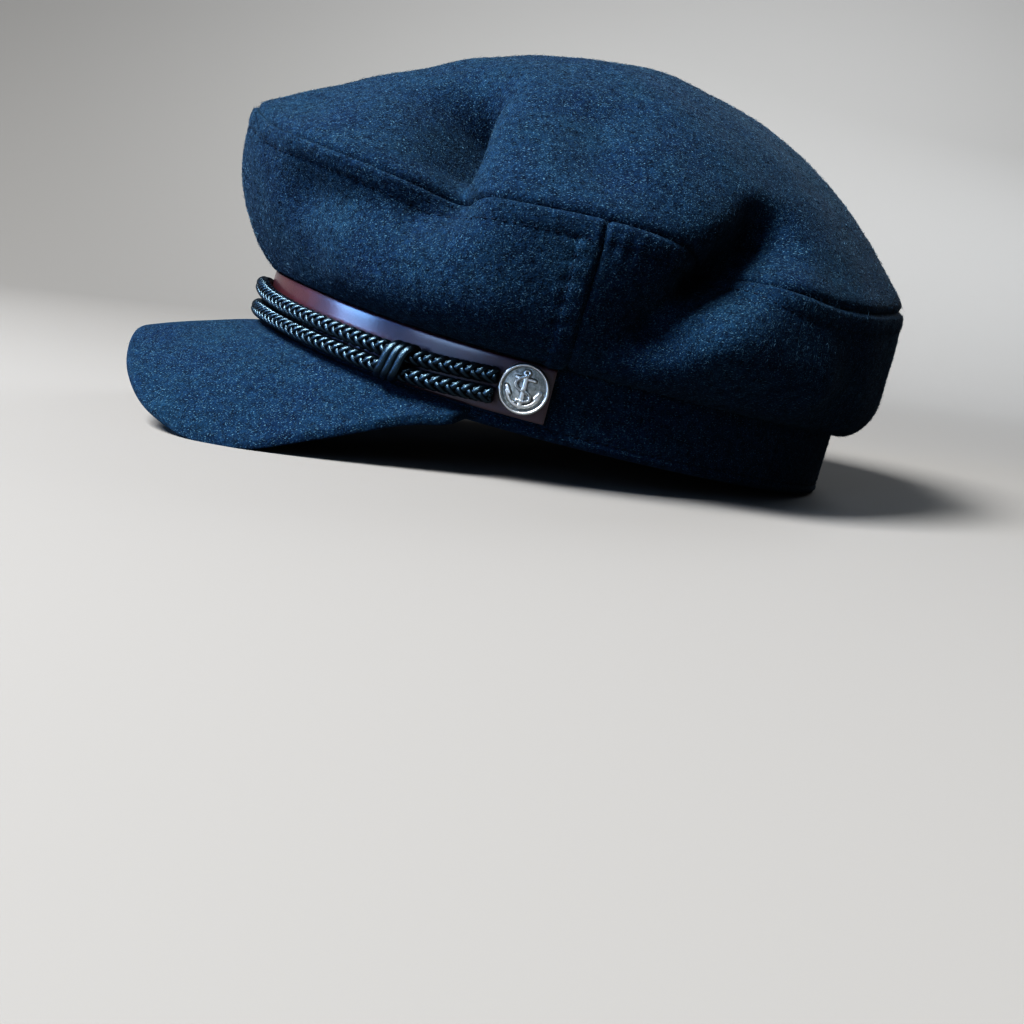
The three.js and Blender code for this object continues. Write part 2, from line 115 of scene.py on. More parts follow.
def camera_axes(azimuth, elevation, roll):
    """Right, up and back of a camera: two turns aim it, then the roll turns right towards up."""
    right = np.array([math.cos(azimuth), math.sin(azimuth), 0])
    back = np.array([
        math.sin(azimuth) * math.cos(elevation),
        -math.cos(azimuth) * math.cos(elevation),
        math.sin(elevation),
    ])
    up = np.cross(back, right)
    rolled_right = right * math.cos(roll) + up * math.sin(roll)
    return np.array([rolled_right, np.cross(back, rolled_right), back])


def add_camera():
    """The lens is the focal length in pixels, scaled from the image's side to the sensor's."""
    data = bpy.data.cameras.new("camera")
    data.sensor_width = SENSOR_MM
    data.sensor_fit = "HORIZONTAL"
    data.lens = SENSOR_MM * FOCAL_PIXELS / IMAGE_SIDE
    data.clip_start = NEAREST_SEEN
    camera = bpy.data.objects.new("camera", data)
    turn = Matrix(lean_over(camera_axes(EYE_AZIMUTH, EYE_ELEVATION, EYE_ROLL)).T.tolist())
    camera.matrix_world = Matrix.Translation(stand(EYE)) @ turn.to_4x4()
    bpy.context.scene.collection.objects.link(camera)
    bpy.context.scene.camera = camera
    return camera


camera = add_camera()
print("camera at", [round(v, 4) for v in camera.matrix_world.translation])

# %% [markdown]
# ## From arrays to pieces
# Every piece below is one or more grids of points. These helpers number a grid's faces, give its
# normals, close a sheet into a wall, and hand the result to Blender as one object that rides on the cap.
# A closed shape has a signed volume, so faces that point inwards show as a negative one and are turned.

# %% Helpers for grids
UP = np.array([0.0, 0, 1])


def grid_faces(rows, columns, rows_close=False, columns_close=False):
    """Quads between neighbouring rows and columns of a grid numbered row by row."""
    i = np.arange(rows if rows_close else rows - 1)[:, None]
    j = np.arange(columns if columns_close else columns - 1)[None, :]
    next_i, next_j = (i + 1) % rows, (j + 1) % columns
    corners = [i * columns + j, i * columns + next_j, next_i * columns + next_j, next_i * columns + j]
    return np.stack(np.broadcast_arrays(*corners), -1).reshape(-1, 4)


def wall_faces(rows, columns):
    """Quads of a wall: an outer grid, an inner grid of the same size, and the edges between them."""
    outer = grid_faces(rows, columns)
    inner = outer[:, ::-1] + rows * columns
    i, j = np.arange(rows - 1) * columns, np.arange(columns - 1)
    k, last = i + columns - 1, (rows - 1) * columns + j
    rims = [(j, j + 1), (last + 1, last), (i + columns, i), (k, k + columns)]
    edge = np.concatenate([np.stack(rim, -1) for rim in rims])
    strip = np.concatenate([edge[:, ::-1], edge + rows * columns], 1)
    return np.concatenate([outer, inner, strip])


def unit(vectors):
    """Vectors over their own lengths."""
    return vectors / np.maximum(np.linalg.norm(vectors, axis=-1, keepdims=True), 1e-12)


def slope(grid, axis, closes=False):
    """Central differences along an axis, round the end if the axis closes."""
    if closes:
        return (np.roll(grid, -1, axis) - np.roll(grid, 1, axis)) / 2
    return np.gradient(grid, axis=axis)


def run_length(grid, axis):
    """Distance travelled along an axis of a grid of points, from its start."""
    step = np.linalg.norm(np.diff(grid, axis=axis), axis=-1)
    return np.insert(np.cumsum(step, axis=axis), 0, 0, axis=axis)


print("a wall of 3 by 4 points has", len(wall_faces(3, 4)), "faces")

# %% Helpers for pieces
def signed_volume(points, faces):
    """Volume of a closed shape from the cones of its faces, each quad split in two."""
    fans = [faces[:, [0, k, k + 1]] for k in range(1, faces.shape[1] - 1)]
    a, b, c = np.moveaxis(points[np.concatenate(fans)], 1, 0)
    return np.einsum("ij,ij->", a, np.cross(b, c)) / 6


def new_piece(name, points, faces, material, replaces=(), values=None):
    """One object of the cap from corners in cap millimetres and one or more arrays of faces."""
    points = np.asarray(points, float).reshape(-1, 3)
    groups = faces if isinstance(faces, list) else [faces]
    volume = sum(signed_volume(points, group) for group in groups)
    if volume < 0:
        groups = [group[:, ::-1] for group in groups]
    mesh = bpy.data.meshes.new(name)
    mesh.from_pydata(stand(points).tolist(), [], [face for group in groups for face in group.tolist()])
    for key, value in (values or {}).items():
        attribute = mesh.attributes.new(key, "FLOAT", "POINT")
        attribute.data.foreach_set("value", np.ravel(value).astype(np.float32))
    mesh.polygons.foreach_set("use_smooth", np.ones(len(mesh.polygons), bool))
    mesh.materials.append(material)
    piece = bpy.data.objects.new(name, mesh)
    bpy.context.scene.collection.objects.link(piece)
    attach(piece, "root")
    if replaces:
        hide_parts(*replaces)
    triangles = sum(len(group) * (group.shape[1] - 2) for group in groups)
    print(f"{name}: {triangles} triangles, {abs(volume) / 1000:.2f} cm3")
    return piece


# %% [markdown]
# ## Finishes
# Fulled wool is a dark ground under a haze of short pale fibres, so it needs colour at two scales, a
# rough bump and a soft sheen at glancing angles. The strap is polished leather, nearly a varnish over a
# fine grain. The cord is satin yarn, and the buttons are cast metal that has darkened in its low places.
# Patterns read Object coordinates, in metres, or an attribute of the piece. What is the same all over a
# surface is set on the shader itself.

# %% A small kit for node materials
def new_finish(name, **constants):
    """A material with one shader whose constant sockets are set by name, spaces written as underscores."""
    material = bpy.data.materials.new(name)
    material.use_nodes = True
    shader = material.node_tree.nodes["Principled BSDF"]
    for socket, value in constants.items():
        shader.inputs[socket.replace("_", " ")].default_value = value
    return material, shader


def feed(material, value, socket):
    """Link a value to a socket if it is a socket itself, and set it there otherwise."""
    if isinstance(value, bpy.types.NodeSocket):
        material.node_tree.links.new(value, socket)
    else:
        socket.default_value = value


def add_node(material, kind, inputs=None, **settings):
    """A node with settings, whose inputs are fed by name."""
    node = material.node_tree.nodes.new(kind)
    for key, value in settings.items():
        setattr(node, key, value)
    for key, value in (inputs or {}).items():
        feed(material, value, node.inputs[key])
    return node


def object_noise(material, scale, detail=2.0, rough=0.5, stretch=(1, 1, 1)):
    """Noise on Object coordinates: scale is in waves to the metre."""
    where = add_node(material, "ShaderNodeTexCoord").outputs["Object"]
    turned = add_node(material, "ShaderNodeMapping", {"Vector": where, "Scale": stretch})
    noise = {"Vector": turned.outputs["Vector"], "Scale": scale, "Detail": detail, "Roughness": rough}
    return add_node(material, "ShaderNodeTexNoise", noise).outputs["Fac"]


def ramp(material, value, *stops):
    """Colours at two stops along a value: each stop is a place and a linear colour."""
    node = add_node(material, "ShaderNodeValToRGB", {"Fac": value})
    for element, (at, colour) in zip(node.color_ramp.elements, stops):
        element.position, element.color = at, (*colour, 1)
    return node.outputs["Color"]


def mixed(material, share, first, second, blend="MIX"):
    """Colour from two: share 0 gives the first one, and share 1 the second one or their blend."""
    node = add_node(material, "ShaderNodeMix", data_type="RGBA", blend_type=blend)
    sockets = {socket.identifier: socket for socket in node.inputs}
    feed(material, share, sockets["Factor_Float"])
    feed(material, first, sockets["A_Color"])
    feed(material, second, sockets["B_Color"])
    return next(socket for socket in node.outputs if socket.identifier == "Result_Color")


def bumped(material, shader, height, distance, strength):
    """Turn the shader's normal by a height pattern that is a distance in metres deep."""
    bump = {"Height": height, "Distance": distance, "Strength": strength}
    feed(material, add_node(material, "ShaderNodeBump", bump).outputs["Normal"], shader.inputs["Normal"])


# %% Fulled wool
WOOL_DEEP = (0.0008, 0.0037, 0.0095)
WOOL_BODY = (0.0046, 0.0188, 0.0410)
WOOL_PALE = (0.041, 0.082, 0.112)
BLACK, WHITE = (0, 0, 0), (1, 1, 1)


def fulled_wool():
    """Specks of pale fibre on a dark ground, over slow cloudy changes, with a felted bump."""
    material, shader = new_finish(
        "fulled_wool", Roughness=0.92, Specular_IOR_Level=0.05,
        Sheen_Weight=0.02, Sheen_Roughness=0.5, Sheen_Tint=(0.30, 0.55, 0.80, 1),
    )
    clouds = object_noise(material, 55, 4.0, 0.6)
    nap = object_noise(material, 1500, 3.0, 0.65)
    specks = object_noise(material, 3300, 1.0, 0.5, (1.0, 0.45, 1.0))
    tufts = object_noise(material, 420, 3.0, 0.7)
    felt = add_node(material, "ShaderNodeMath", {0: nap, 1: tufts}, operation="ADD").outputs[0]
    half = add_node(material, "ShaderNodeMath", {0: felt, 1: 0.5}, operation="MULTIPLY").outputs[0]
    ground = ramp(material, half, (0.36, WOOL_DEEP), (0.64, WOOL_BODY))
    shade = ramp(material, clouds, (0.30, (0.68, 0.72, 0.86)), (0.70, (1.18, 1.13, 1.02)))
    body = mixed(material, 1.0, ground, shade, "MULTIPLY")
    share = ramp(material, specks, (0.60, BLACK), (0.76, WHITE))
    feed(material, mixed(material, share, body, (*WOOL_PALE, 1)), shader.inputs["Base Color"])
    bumped(material, shader, nap, 0.0006, 0.7)
    return material


wool = fulled_wool()
print("finish:", wool.name)

# %% Loose fibres, leather, yarn and thread
def cloudy_colour(material, shader, dark, pale, *noise):
    """Base colour between two stops of a noise."""
    feed(material, ramp(material, object_noise(material, *noise), dark, pale), shader.inputs["Base Color"])


def loose_fibre():
    """Single hairs that stand up from the cloth: paler than the ground, in a few tones."""
    material, shader = new_finish("loose_fibre", Roughness=0.8, Specular_IOR_Level=0.1)
    dark, pale = (0.42, (0.003, 0.013, 0.030)), (0.74, (0.046, 0.086, 0.118))
    cloudy_colour(material, shader, dark, pale, 420, 1.0)
    return material


def polished_leather():
    """Dark red brown, cloudy, with a fine grain under a clear polish."""
    material, shader = new_finish(
        "polished_leather", Roughness=0.42, Specular_IOR_Level=0.5, Specular_Tint=(0.50, 0.62, 1.0, 1),
        Coat_Weight=0.85, Coat_Roughness=0.20,
    )
    dark, pale = (0.30, (0.013, 0.0028, 0.0029)), (0.72, (0.036, 0.0070, 0.0068))
    cloudy_colour(material, shader, dark, pale, 70, 5.0, 0.6)
    bumped(material, shader, object_noise(material, 1900, 4.0, 0.6), 0.00025, 0.35)
    return material


def satin_yarn():
    """Black blue yarn with fine streaks that catch the light."""
    material, shader = new_finish(
        "satin_yarn", Roughness=0.27, Specular_IOR_Level=0.5, Specular_Tint=(0.45, 0.76, 1.0, 1),
    )
    dark, pale = (0.32, (0.0006, 0.0012, 0.0022)), (0.70, (0.0020, 0.0040, 0.0070))
    cloudy_colour(material, shader, dark, pale, 600, 2.0)
    bumped(material, shader, object_noise(material, 2600, 2.0, 0.6, (1.0, 1.0, 2.2)), 0.00022, 0.5)
    return material


def sewing_thread():
    """Navy thread, a little smoother and darker than the wool."""
    material, shader = new_finish("sewing_thread", Roughness=0.8, Specular_IOR_Level=0.1)
    dark, pale = (0.35, (0.0006, 0.0030, 0.0080)), (0.70, (0.0024, 0.0110, 0.0260))
    cloudy_colour(material, shader, dark, pale, 1800, 1.0)
    return material


fibre, leather, yarn, thread = loose_fibre(), polished_leather(), satin_yarn(), sewing_thread()
print("finishes:", fibre.name, leather.name, yarn.name, thread.name)

# %% Cast silver
def cast_silver():
    """Worn bright on the raised places and dark in the low ones: the relief attribute runs from 0 to 1."""
    material, shader = new_finish("cast_silver", Metallic=1.0)
    relief = add_node(material, "ShaderNodeAttribute", attribute_name="relief").outputs["Fac"]
    wear = object_noise(material, 900, 4.0, 0.6)
    low = ramp(material, wear, (0.30, (0.15, 0.165, 0.168)), (0.75, (0.39, 0.415, 0.415)))
    share = ramp(material, relief, (0.25, BLACK), (0.70, WHITE))
    feed(material, mixed(material, share, low, (0.47, 0.49, 0.50, 1)), shader.inputs["Base Color"])
    rough = ramp(material, relief, (0.2, (0.50, 0.50, 0.50)), (0.8, (0.33, 0.33, 0.33)))
    feed(material, rough, shader.inputs["Roughness"])
    bumped(material, shader, object_noise(material, 2600, 2.0, 0.6), 0.00022, 0.6)
    return material


silver = cast_silver()
print("finish:", silver.name)

# %% [markdown]
# ## The crown before it is folded
# A cap's crown is three pieces of cloth: an oval top, a front and a back panel. Sculpting would lose the
# seams, so the whole crown is one function of two numbers instead: the angle from the front, and a place
# that is 0 at the band, 1 at the top seam and 2 at the middle of the top. A short table of sections gives
# the seam's reach and height and the pull of the cloth, and a smooth curve runs through its rows.

# %% Band oval and table curves
BAND_LONG, BAND_WIDE, BAND_WALL, GAP = 102, 83.5, 3, 0.3
FRONT_LIFT, FRONT_LIFT_POWER = 6, 3


def curve_through(padded, at):
    """Catmull-Rom curve through a table with a spare row at each end, at places counted from its second
    row: a cubic between two rows whose slopes are half the difference of the rows beside them."""
    i = np.minimum(at.astype(int), len(padded) - 4)
    t = (at - i).reshape(at.shape + (1,) * (padded.ndim - 1))
    a, b, c, d = (padded[i + k] for k in range(4))
    return b + 0.5 * t * (c - a + t * (2 * a - 5 * b + 4 * c - d + t * (3 * (b - c) + d - a)))


def table_curve(column, step, angle, closes):
    """Curve through evenly spaced rows, mirrored about the first row, and about the last one too if the
    table closes; otherwise it runs on straight."""
    column = np.asarray(column, float)
    after = column[-2] if closes else 2 * column[-1] - column[-2]
    turned = np.abs((np.asarray(angle, float) + 180) % 360 - 180)
    at = np.minimum(turned / step, len(column) - 1)
    return curve_through(np.concatenate([[column[1]], column, [after]]), at)


def on_oval(angle, out, high):
    """Point at an angle from the front on the band's oval widened by a distance out."""
    turn = np.radians(angle)
    x, y = (BAND_WIDE + out) * np.sin(turn), -(BAND_LONG + out) * np.cos(turn)
    return np.stack(np.broadcast_arrays(x, y, high), -1)


def oval_normal(angle):
    """Level direction out of the band's oval."""
    turn = np.radians(angle)
    return unit(np.stack([BAND_LONG * np.sin(turn), -BAND_WIDE * np.cos(turn), 0 * turn], -1))


def front_lift(angle):
    """The band, strap and cords rise a little at the front, as a power of the cosine."""
    return FRONT_LIFT * np.maximum(np.cos(np.radians(angle)), 0) ** FRONT_LIFT_POWER


print("band's side and front, mm:", on_oval(np.array([90, 0]), 0, 0).round(1).tolist())

# %% Sections of the crown
CROWN_TOP, CROWN_WALL, SIDE_SEAM = 123.5, 2, 83.5
FOOT_OUT, FOOT_HIGH = 2.1, 21.7
SECTION_STEP = 30
SECTIONS = {
    "seam_out": [19, 20, 20, 20, 18.5, 12.5, 8.5],
    "seam_high": [78.5, 68.4, 62.6, 64, 59.2, 66.4, 70],
    "low_out": [11, 9, 16, 14, 13, 14, 15],
    "low_up": [6, 6, 0, 0.6, 0.6, 0.6, 0.6],
    "high_out": [25, 19.5, 20.5, 23, 21, 18, 16],
    "high_down": [21, 14, 19, 19, 19, 20, 21],
    "fall": [1.3, 1.2, 1.0, 0.8, 0.75, 0.72, 0.66],
}


def plain_crown(angle, place):
    """Side wall: a cubic curve in reach and height from the band to the seam. Top: the seam's oval drawn
    in to the middle while its height rises by a mix of a square and a fourth power."""
    angle, place = np.broadcast_arrays(np.asarray(angle, float), np.asarray(place, float))
    s = {key: table_curve(column, SECTION_STEP, angle, True) for key, column in SECTIONS.items()}
    foot = FOOT_HIGH + front_lift(angle)
    t = np.clip(place, 0, 1)
    a, b, c, d = (1 - t) ** 3, 3 * t * (1 - t) ** 2, 3 * t ** 2 * (1 - t), t ** 3
    out = a * FOOT_OUT + b * s["low_out"] + c * s["high_out"] + d * s["seam_out"]
    high = a * foot + b * (foot + s["low_up"]) + c * (s["seam_high"] - s["high_down"]) + d * s["seam_high"]
    share = np.clip(2 - place, 0, 1)
    drop = s["fall"] * share ** 2 + (1 - s["fall"]) * share ** 4
    top = on_oval(angle, s["seam_out"], 0.0) * share[..., None]
    top[..., 2] = CROWN_TOP + (s["seam_high"] - CROWN_TOP) * drop
    return np.where((place <= 1)[..., None], on_oval(angle, out, high), top)


print("top seam at the front and back, mm:", plain_crown(np.array([0, 180]), 1).round(1).tolist())

# %% [markdown]
# ## Folds
# Soft wool keeps the dents of the hand. Cloth simulation would give some dents, but not these ones, so
# each fold is a row: a line between two places on the crown, how wide it is on its front side and on its
# back side, and how deep. The cloth is pressed towards the middle of the cap by a bell curve of the
# distance to that line. On the front side of a crease the curve is steepest close to the line instead,
# and past the line's ends the two sides blend. A bulge is a fold with a negative depth.

# %% Folds of the crown
FOLDS = [
    {"from": (47.5, 1.29), "to": (60, 0.99), "front": 7.5, "back": 11, "deep": 18.5, "creased": True},
    {"from": (48, 1.27), "to": (54.5, 1.11), "front": 6, "back": 8, "deep": 8, "creased": True},
    {"from": (36, 0.72), "to": (54, 0.84), "front": 9, "back": 9, "deep": 5.5, "creased": False},
    {"from": (46, 0.32), "to": (70, 0.44), "front": 10, "back": 10, "deep": -3, "creased": False},
    {"from": (78, 1.27), "to": (80, 1.13), "front": 9, "back": 13, "deep": 3, "creased": False},
    {"from": (109, 1.09), "to": (103.5, 1.01), "front": 8, "back": 9, "deep": 15, "creased": False},
    {"from": (103.5, 1.01), "to": (99.5, 0.88), "front": 7, "back": 7, "deep": 8, "creased": False},
    {"from": (99.5, 0.88), "to": (94, 0.60), "front": 7.5, "back": 9, "deep": 13, "creased": True},
    {"from": (102, 0.57), "to": (119, 0.51), "front": 13, "back": 13, "deep": -6, "creased": False},
    {"from": (-64, 1.30), "to": (-70, 0.96), "front": 14, "back": 14, "deep": 7, "creased": False},
    {"from": (-118, 1.16), "to": (-108, 0.70), "front": 13, "back": 13, "deep": 9, "creased": False},
    {"from": (168, 1.10), "to": (158, 0.72), "front": 14, "back": 14, "deep": 4, "creased": False},
]
FOLD_STOPS, CREASE_ROUND, SIDES_BLEND = 9, 5, 0.5


def line_distance(points, stops):
    """Shortest distance to a chain of straight stretches between stops."""
    nearest = np.full(points.shape[:-1], np.inf)
    for start, end in zip(stops[:-1], stops[1:]):
        way = end - start
        along = np.clip((points - start) @ way / (way @ way), 0, 1)
        nearest = np.minimum(nearest, np.linalg.norm(points - start - along[..., None] * way, axis=-1))
    return nearest


def fold_depth(fold, angle, place, points):
    """Depth times e to the minus a curve of the distance. The curve is the square of the distance over
    the width, or on a crease's front a line rounded at its foot, mixed by how far ahead a point lies."""
    line = np.linspace(fold["from"], fold["to"], FOLD_STOPS)
    near = line_distance(points, plain_crown(line[:, 0], line[:, 1]))
    order = np.argsort(line[:, 1])
    behind = (angle - np.interp(place, line[order, 1], line[order, 0]) + 180) % 360 - 180
    behind = np.radians(behind) * np.hypot(points[..., 0], points[..., 1])
    ahead = np.clip(0.5 - behind / (near + SIDES_BLEND), 0, 1)
    front, back = (near / fold["front"]) ** 2, (near / fold["back"]) ** 2
    if fold["creased"]:
        front = (np.hypot(near, CREASE_ROUND) - CREASE_ROUND) / fold["front"]
    return fold["deep"] * np.exp(-ahead * front - (1 - ahead) * back)


print(len(FOLDS), "folds, the deepest in mm:", max(fold["deep"] for fold in FOLDS))

# %% The folded crown
RIPPLE_WAYS = np.array([(0.050, 0.021, 0.034), (-0.031, 0.062, 0.043), (0.083, 0.055, -0.071)])
RIPPLE_STARTS, RIPPLE_DEPTHS = np.array([0.4, 2.1, 4.0]), np.array([0.30, 0.25, 0.08])
CROWN_CORE = np.array([0, 0, 45])
FOLD_FREE_BELOW = 0.3


def ripple(points):
    """Slow, small waves of the cloth in millimetres: a sum of sines along fixed directions."""
    return np.sin(np.pi * (points @ RIPPLE_WAYS.T) + RIPPLE_STARTS) @ RIPPLE_DEPTHS


def crown(angle, place):
    """The plain crown pressed towards its core by the sum of all folds and ripples, which rises from
    nothing at the band as a smooth step."""
    angle, place = np.broadcast_arrays(np.asarray(angle, float), np.asarray(place, float))
    points = plain_crown(angle, place)
    push = sum(fold_depth(fold, angle, place, points) for fold in FOLDS) + ripple(points)
    rise = np.clip(place / FOLD_FREE_BELOW, 0, 1)
    push = push * rise * rise * (3 - 2 * rise)
    return points + unit(CROWN_CORE - points) * push[..., None]


print("top seam in the first fold, mm:", crown(*FOLDS[0]["to"]).round(1).tolist())

# %% [markdown]
# ## Seams
# Each seam is a groove where two panels turn in to meet. The cloth left over inside is pressed to one
# side and sewn down again, so a flat, slightly raised border runs beside the seam and ends in a dimpled
# row of stitches. All of that is one height along the cloth, a function of the distance to the seam.
# The panels overlap by a hair, so that no light falls through a seam.

# %% Height of the cloth beside a seam
GROOVE_DEEP, GROOVE_WIDE = 1.5, 1.0
BORDER_WIDE, BORDER_HIGH, BORDER_EDGE = 6.4, 0.55, 0.35
STITCH_DIP, STITCH_DIP_WIDE = 0.3, 1.2
PUCKER_LONG, PUCKER_HIGH, PUCKER_WIDE = 5.4, 0.25, 3.5
PUCKER_SWAY, PUCKER_SWAY_LONG = 2, 9


def bell(away, wide):
    """e to the minus the square of the distance over the width."""
    return np.exp(-(away / wide) ** 2)


def seam_groove(away):
    """A bell curve cut into the cloth along the seam."""
    return -GROOVE_DEEP * bell(away, GROOVE_WIDE)


def sewn_border(away, along):
    """A raised border up to the stitch row, a dip at the row, and small puckers along it."""
    past = away - BORDER_WIDE
    raised = BORDER_HIGH / (1 + np.exp(past / BORDER_EDGE))
    dip = STITCH_DIP * bell(past, STITCH_DIP_WIDE)
    wave = 2 * np.pi * along / PUCKER_LONG + PUCKER_SWAY * np.sin(along / PUCKER_SWAY_LONG)
    return raised - dip + PUCKER_HIGH * np.sin(wave) * bell(past, PUCKER_WIDE)


print("height at the seam and on its border, mm:", seam_groove(0), round(sewn_border(3, 0), 2))

# %% Walls of sewn cloth
SEAM_PLACE, SEAM_TURN = -0.0012, 2.2
ANGLE_STEP, PLACE_STEP = 1, 0.02


def seam_normal(angle):
    """Mean direction out of the two panels that meet at the top seam."""
    along = crown(angle + ANGLE_STEP, 1) - crown(angle - ANGLE_STEP, 1)
    up = crown(angle, 1 + PLACE_STEP) - crown(angle, 1 - PLACE_STEP)
    return unit(np.cross(along, up))


def sewn_wall(skin, normal, angle, away, height):
    """Outer and inner grids of a panel: its skin raised by a height. Near the top seam the way out turns
    from the panel's own normal to the one that both panels share, so that their edges meet."""
    shared = bell(away, SEAM_TURN)[..., None]
    way = unit(normal * (1 - shared) + seam_normal(angle)[None] * shared)
    outer = skin + way * height[..., None]
    return outer, outer - way * CROWN_WALL


print("way out at the seam's side:", seam_normal(np.array([90.0])).round(2).tolist())

# %% Front and back panels of the crown
PANEL_ACROSS, PANEL_UP = 220, 78
PANEL_CROWDING, PANEL_LOW = 0.22, 0.92
SEAM_ANGLE, SIDE_GROOVE = -0.05, 0.7


def eased(count, ends):
    """Numbers from 0 to 1 that crowd towards both ends, where the step is the given share of the mean."""
    t = np.linspace(0, 1, count)
    return t - (1 - ends) * np.sin(2 * np.pi * t) / (2 * np.pi)


def side_panel(first, last, bordered):
    """Grids of a side panel between two angles, its normals, and each point's distances to the top seam
    and to both side seams. The borders along the side seams are sewn down only if it is bordered."""
    angle = first + (last - first) * eased(PANEL_ACROSS, PANEL_CROWDING)
    up = np.linspace(0, 1, PANEL_UP) ** PANEL_LOW * (1 - SEAM_PLACE)
    skin = crown(angle[None, :], up[:, None])
    normal = unit(np.cross(slope(skin, 1), slope(skin, 0)))
    climb, across = run_length(skin, 0), run_length(skin, 1)
    to_top = climb[-1] - climb
    to_ends = [across, across[:, -1:] - across]
    height = seam_groove(to_top) + sewn_border(to_top, across)
    for away in to_ends:
        height = height + SIDE_GROOVE * seam_groove(away)
        if bordered:
            height = height + np.where(to_top > BORDER_WIDE, sewn_border(away, climb), 0)
    outer, inner = sewn_wall(skin, normal, angle, to_top, height)
    return SimpleNamespace(outer=outer, inner=inner, normal=normal, to_top=to_top, to_ends=to_ends)


def add_side_panel(name, panel, node):
    """The piece of a side panel, a wall between its two grids."""
    grids = np.stack([panel.outer, panel.inner])
    return new_piece(name, grids, wall_faces(PANEL_UP, PANEL_ACROSS), wool, [node])


front_wool = side_panel(-SIDE_SEAM + SEAM_ANGLE, SIDE_SEAM - SEAM_ANGLE, True)
back_wool = side_panel(SIDE_SEAM + SEAM_ANGLE, 360 - SIDE_SEAM - SEAM_ANGLE, False)
crown_front = add_side_panel("crown_front_wool", front_wool, "crown_front")
crown_back = add_side_panel("crown_back_wool", back_wool, "crown_back")

# %% The oval top of the crown
TOP_ROUND, TOP_RINGS, TOP_CROWDING = 300, 66, 0.32
TOP_MIDDLE = 0.004
TOP_PUFF, TOP_PUFF_AT = 0.7, 4


def top_panel():
    """Rings from the top seam to the middle, crowded near the seam, with the edge rolled into the groove
    and a puff behind it that rises and dies away as x times e to the minus x."""
    angle = np.linspace(0, 360, TOP_ROUND, endpoint=False)
    v = np.linspace(0, 1, TOP_RINGS)
    ring = 1 + SEAM_PLACE + v * (TOP_CROWDING + (1 - TOP_CROWDING) * v) * (1 - SEAM_PLACE - TOP_MIDDLE)
    skin = crown(angle[None, :], ring[:, None])
    normal = unit(np.cross(slope(skin, 1, True), slope(skin, 0)))
    away = run_length(skin, 0)
    puff = TOP_PUFF * (away / TOP_PUFF_AT) * np.exp(1 - away / TOP_PUFF_AT)
    outer, inner = sewn_wall(skin, normal, angle, away, seam_groove(away) + puff)
    return SimpleNamespace(outer=outer, inner=inner, normal=normal)


def round_wall(rows, columns):
    """Faces of a round wall: two grids, the edge at their first rows, and fans to two middle points."""
    skin = grid_faces(rows, columns, columns_close=True)
    size = rows * columns
    j = np.arange(columns)
    k = (j + 1) % columns
    edge = np.stack([k, j, j + size, k + size], -1)
    last, middle = size - columns, np.full(columns, 2 * size)
    over = np.stack([last + j, last + k, middle], -1)
    under = np.stack([last + size + k, last + size + j, middle + 1], -1)
    return [np.concatenate([skin, skin[:, ::-1] + size, edge]), np.concatenate([over, under])]


top_wool = top_panel()
top_grids = [top_wool.outer, top_wool.inner]
top_corners = [grid.reshape(-1, 3) for grid in top_grids] + [grid[-1:].mean(1) for grid in top_grids]
top_faces = round_wall(TOP_RINGS, TOP_ROUND)
crown_top = new_piece("crown_top_wool", np.concatenate(top_corners), top_faces, wool, ["crown_top"])

# %% [markdown]
# ## Head band
# The band is a doubled strip of wool sewn into a ring. Its lower rim is a fold, held by a row of stitches
# just above it. It is a closed section carried round the oval, so one grid that closes both ways makes
# the whole ring with no seam in it.

# %% Head band
BAND_ROUND, BAND_ROWS, FOLD_ROWS = 280, 26, 9
RIM_SWELL, RIM_SWELL_AT, RIM_SWELL_WIDE = 0.35, 1.6, 1.2
RIM_DIP, RIM_STITCH, RIM_DIP_WIDE = 0.5, 3.4, 0.55


def band_section():
    """Loop of (out, high): down the inner face, round the rim's fold, and up the outer face, where a
    swelling at the rim and a dip at the stitches show."""
    fold = BAND_WALL / 2
    turn = np.linspace(np.pi, 2 * np.pi, FOLD_ROWS + 2)[1:-1]
    high = np.linspace(fold, BAND_HIGH, BAND_ROWS)
    swell = RIM_SWELL * bell(high - RIM_SWELL_AT, RIM_SWELL_WIDE)
    dip = RIM_DIP * bell(high - RIM_STITCH, RIM_DIP_WIDE)
    rim = np.stack([-fold + fold * np.cos(turn), fold + fold * np.sin(turn)], -1)
    inner = np.stack([np.full(BAND_ROWS, -BAND_WALL), high[::-1]], -1)
    return np.concatenate([inner, rim, np.stack([swell - dip, high], -1)])


band_angle = np.linspace(0, 360, BAND_ROUND, endpoint=False)
band_out, band_high = band_section().T[..., None]
band_grid = on_oval(band_angle[None, :], band_out, band_high + front_lift(band_angle)[None, :])
band_faces = grid_faces(*band_grid.shape[:2], True, True)
head_band = new_piece("head_band_wool", band_grid, band_faces, wool, ["head_band"])

# %% [markdown]
# ## Peak
# The peak is a stiff curved board covered with the same wool. It could be bent from a flat outline, but
# it is easier to give its two edges: the root on the band, and a blunt swept edge with a table of
# heights. The surface runs between them and falls faster towards the edge, which is thick and round.

# %% Peak
PEAK_WIDE, PEAK_BACK, PEAK_LONG, PEAK_BLUNT = 82, -46, 96.8, 2.6
PEAK_SWEEP, PEAK_MEETS, PEAK_ROOT, PEAK_THICK, PEAK_STEEPEN = 92, 70, 3.6, 3.2, 1.3
PEAK_EDGE_STEP, PEAK_EDGE_HIGH = 20, [-2.2, -11.3, -19.8, -22.5, -10.4, 11]
PEAK_ACROSS, PEAK_ALONG, PEAK_RIPPLE = 170, 40, 0.35
NOSE_ROWS, NOSE_LONG, NOSE_BEND = 9, 1.3, 86


def blunt(x):
    """A sine or cosine squared off: its size raised to a power below one."""
    return np.sign(x) * np.abs(x) ** (2 / PEAK_BLUNT)


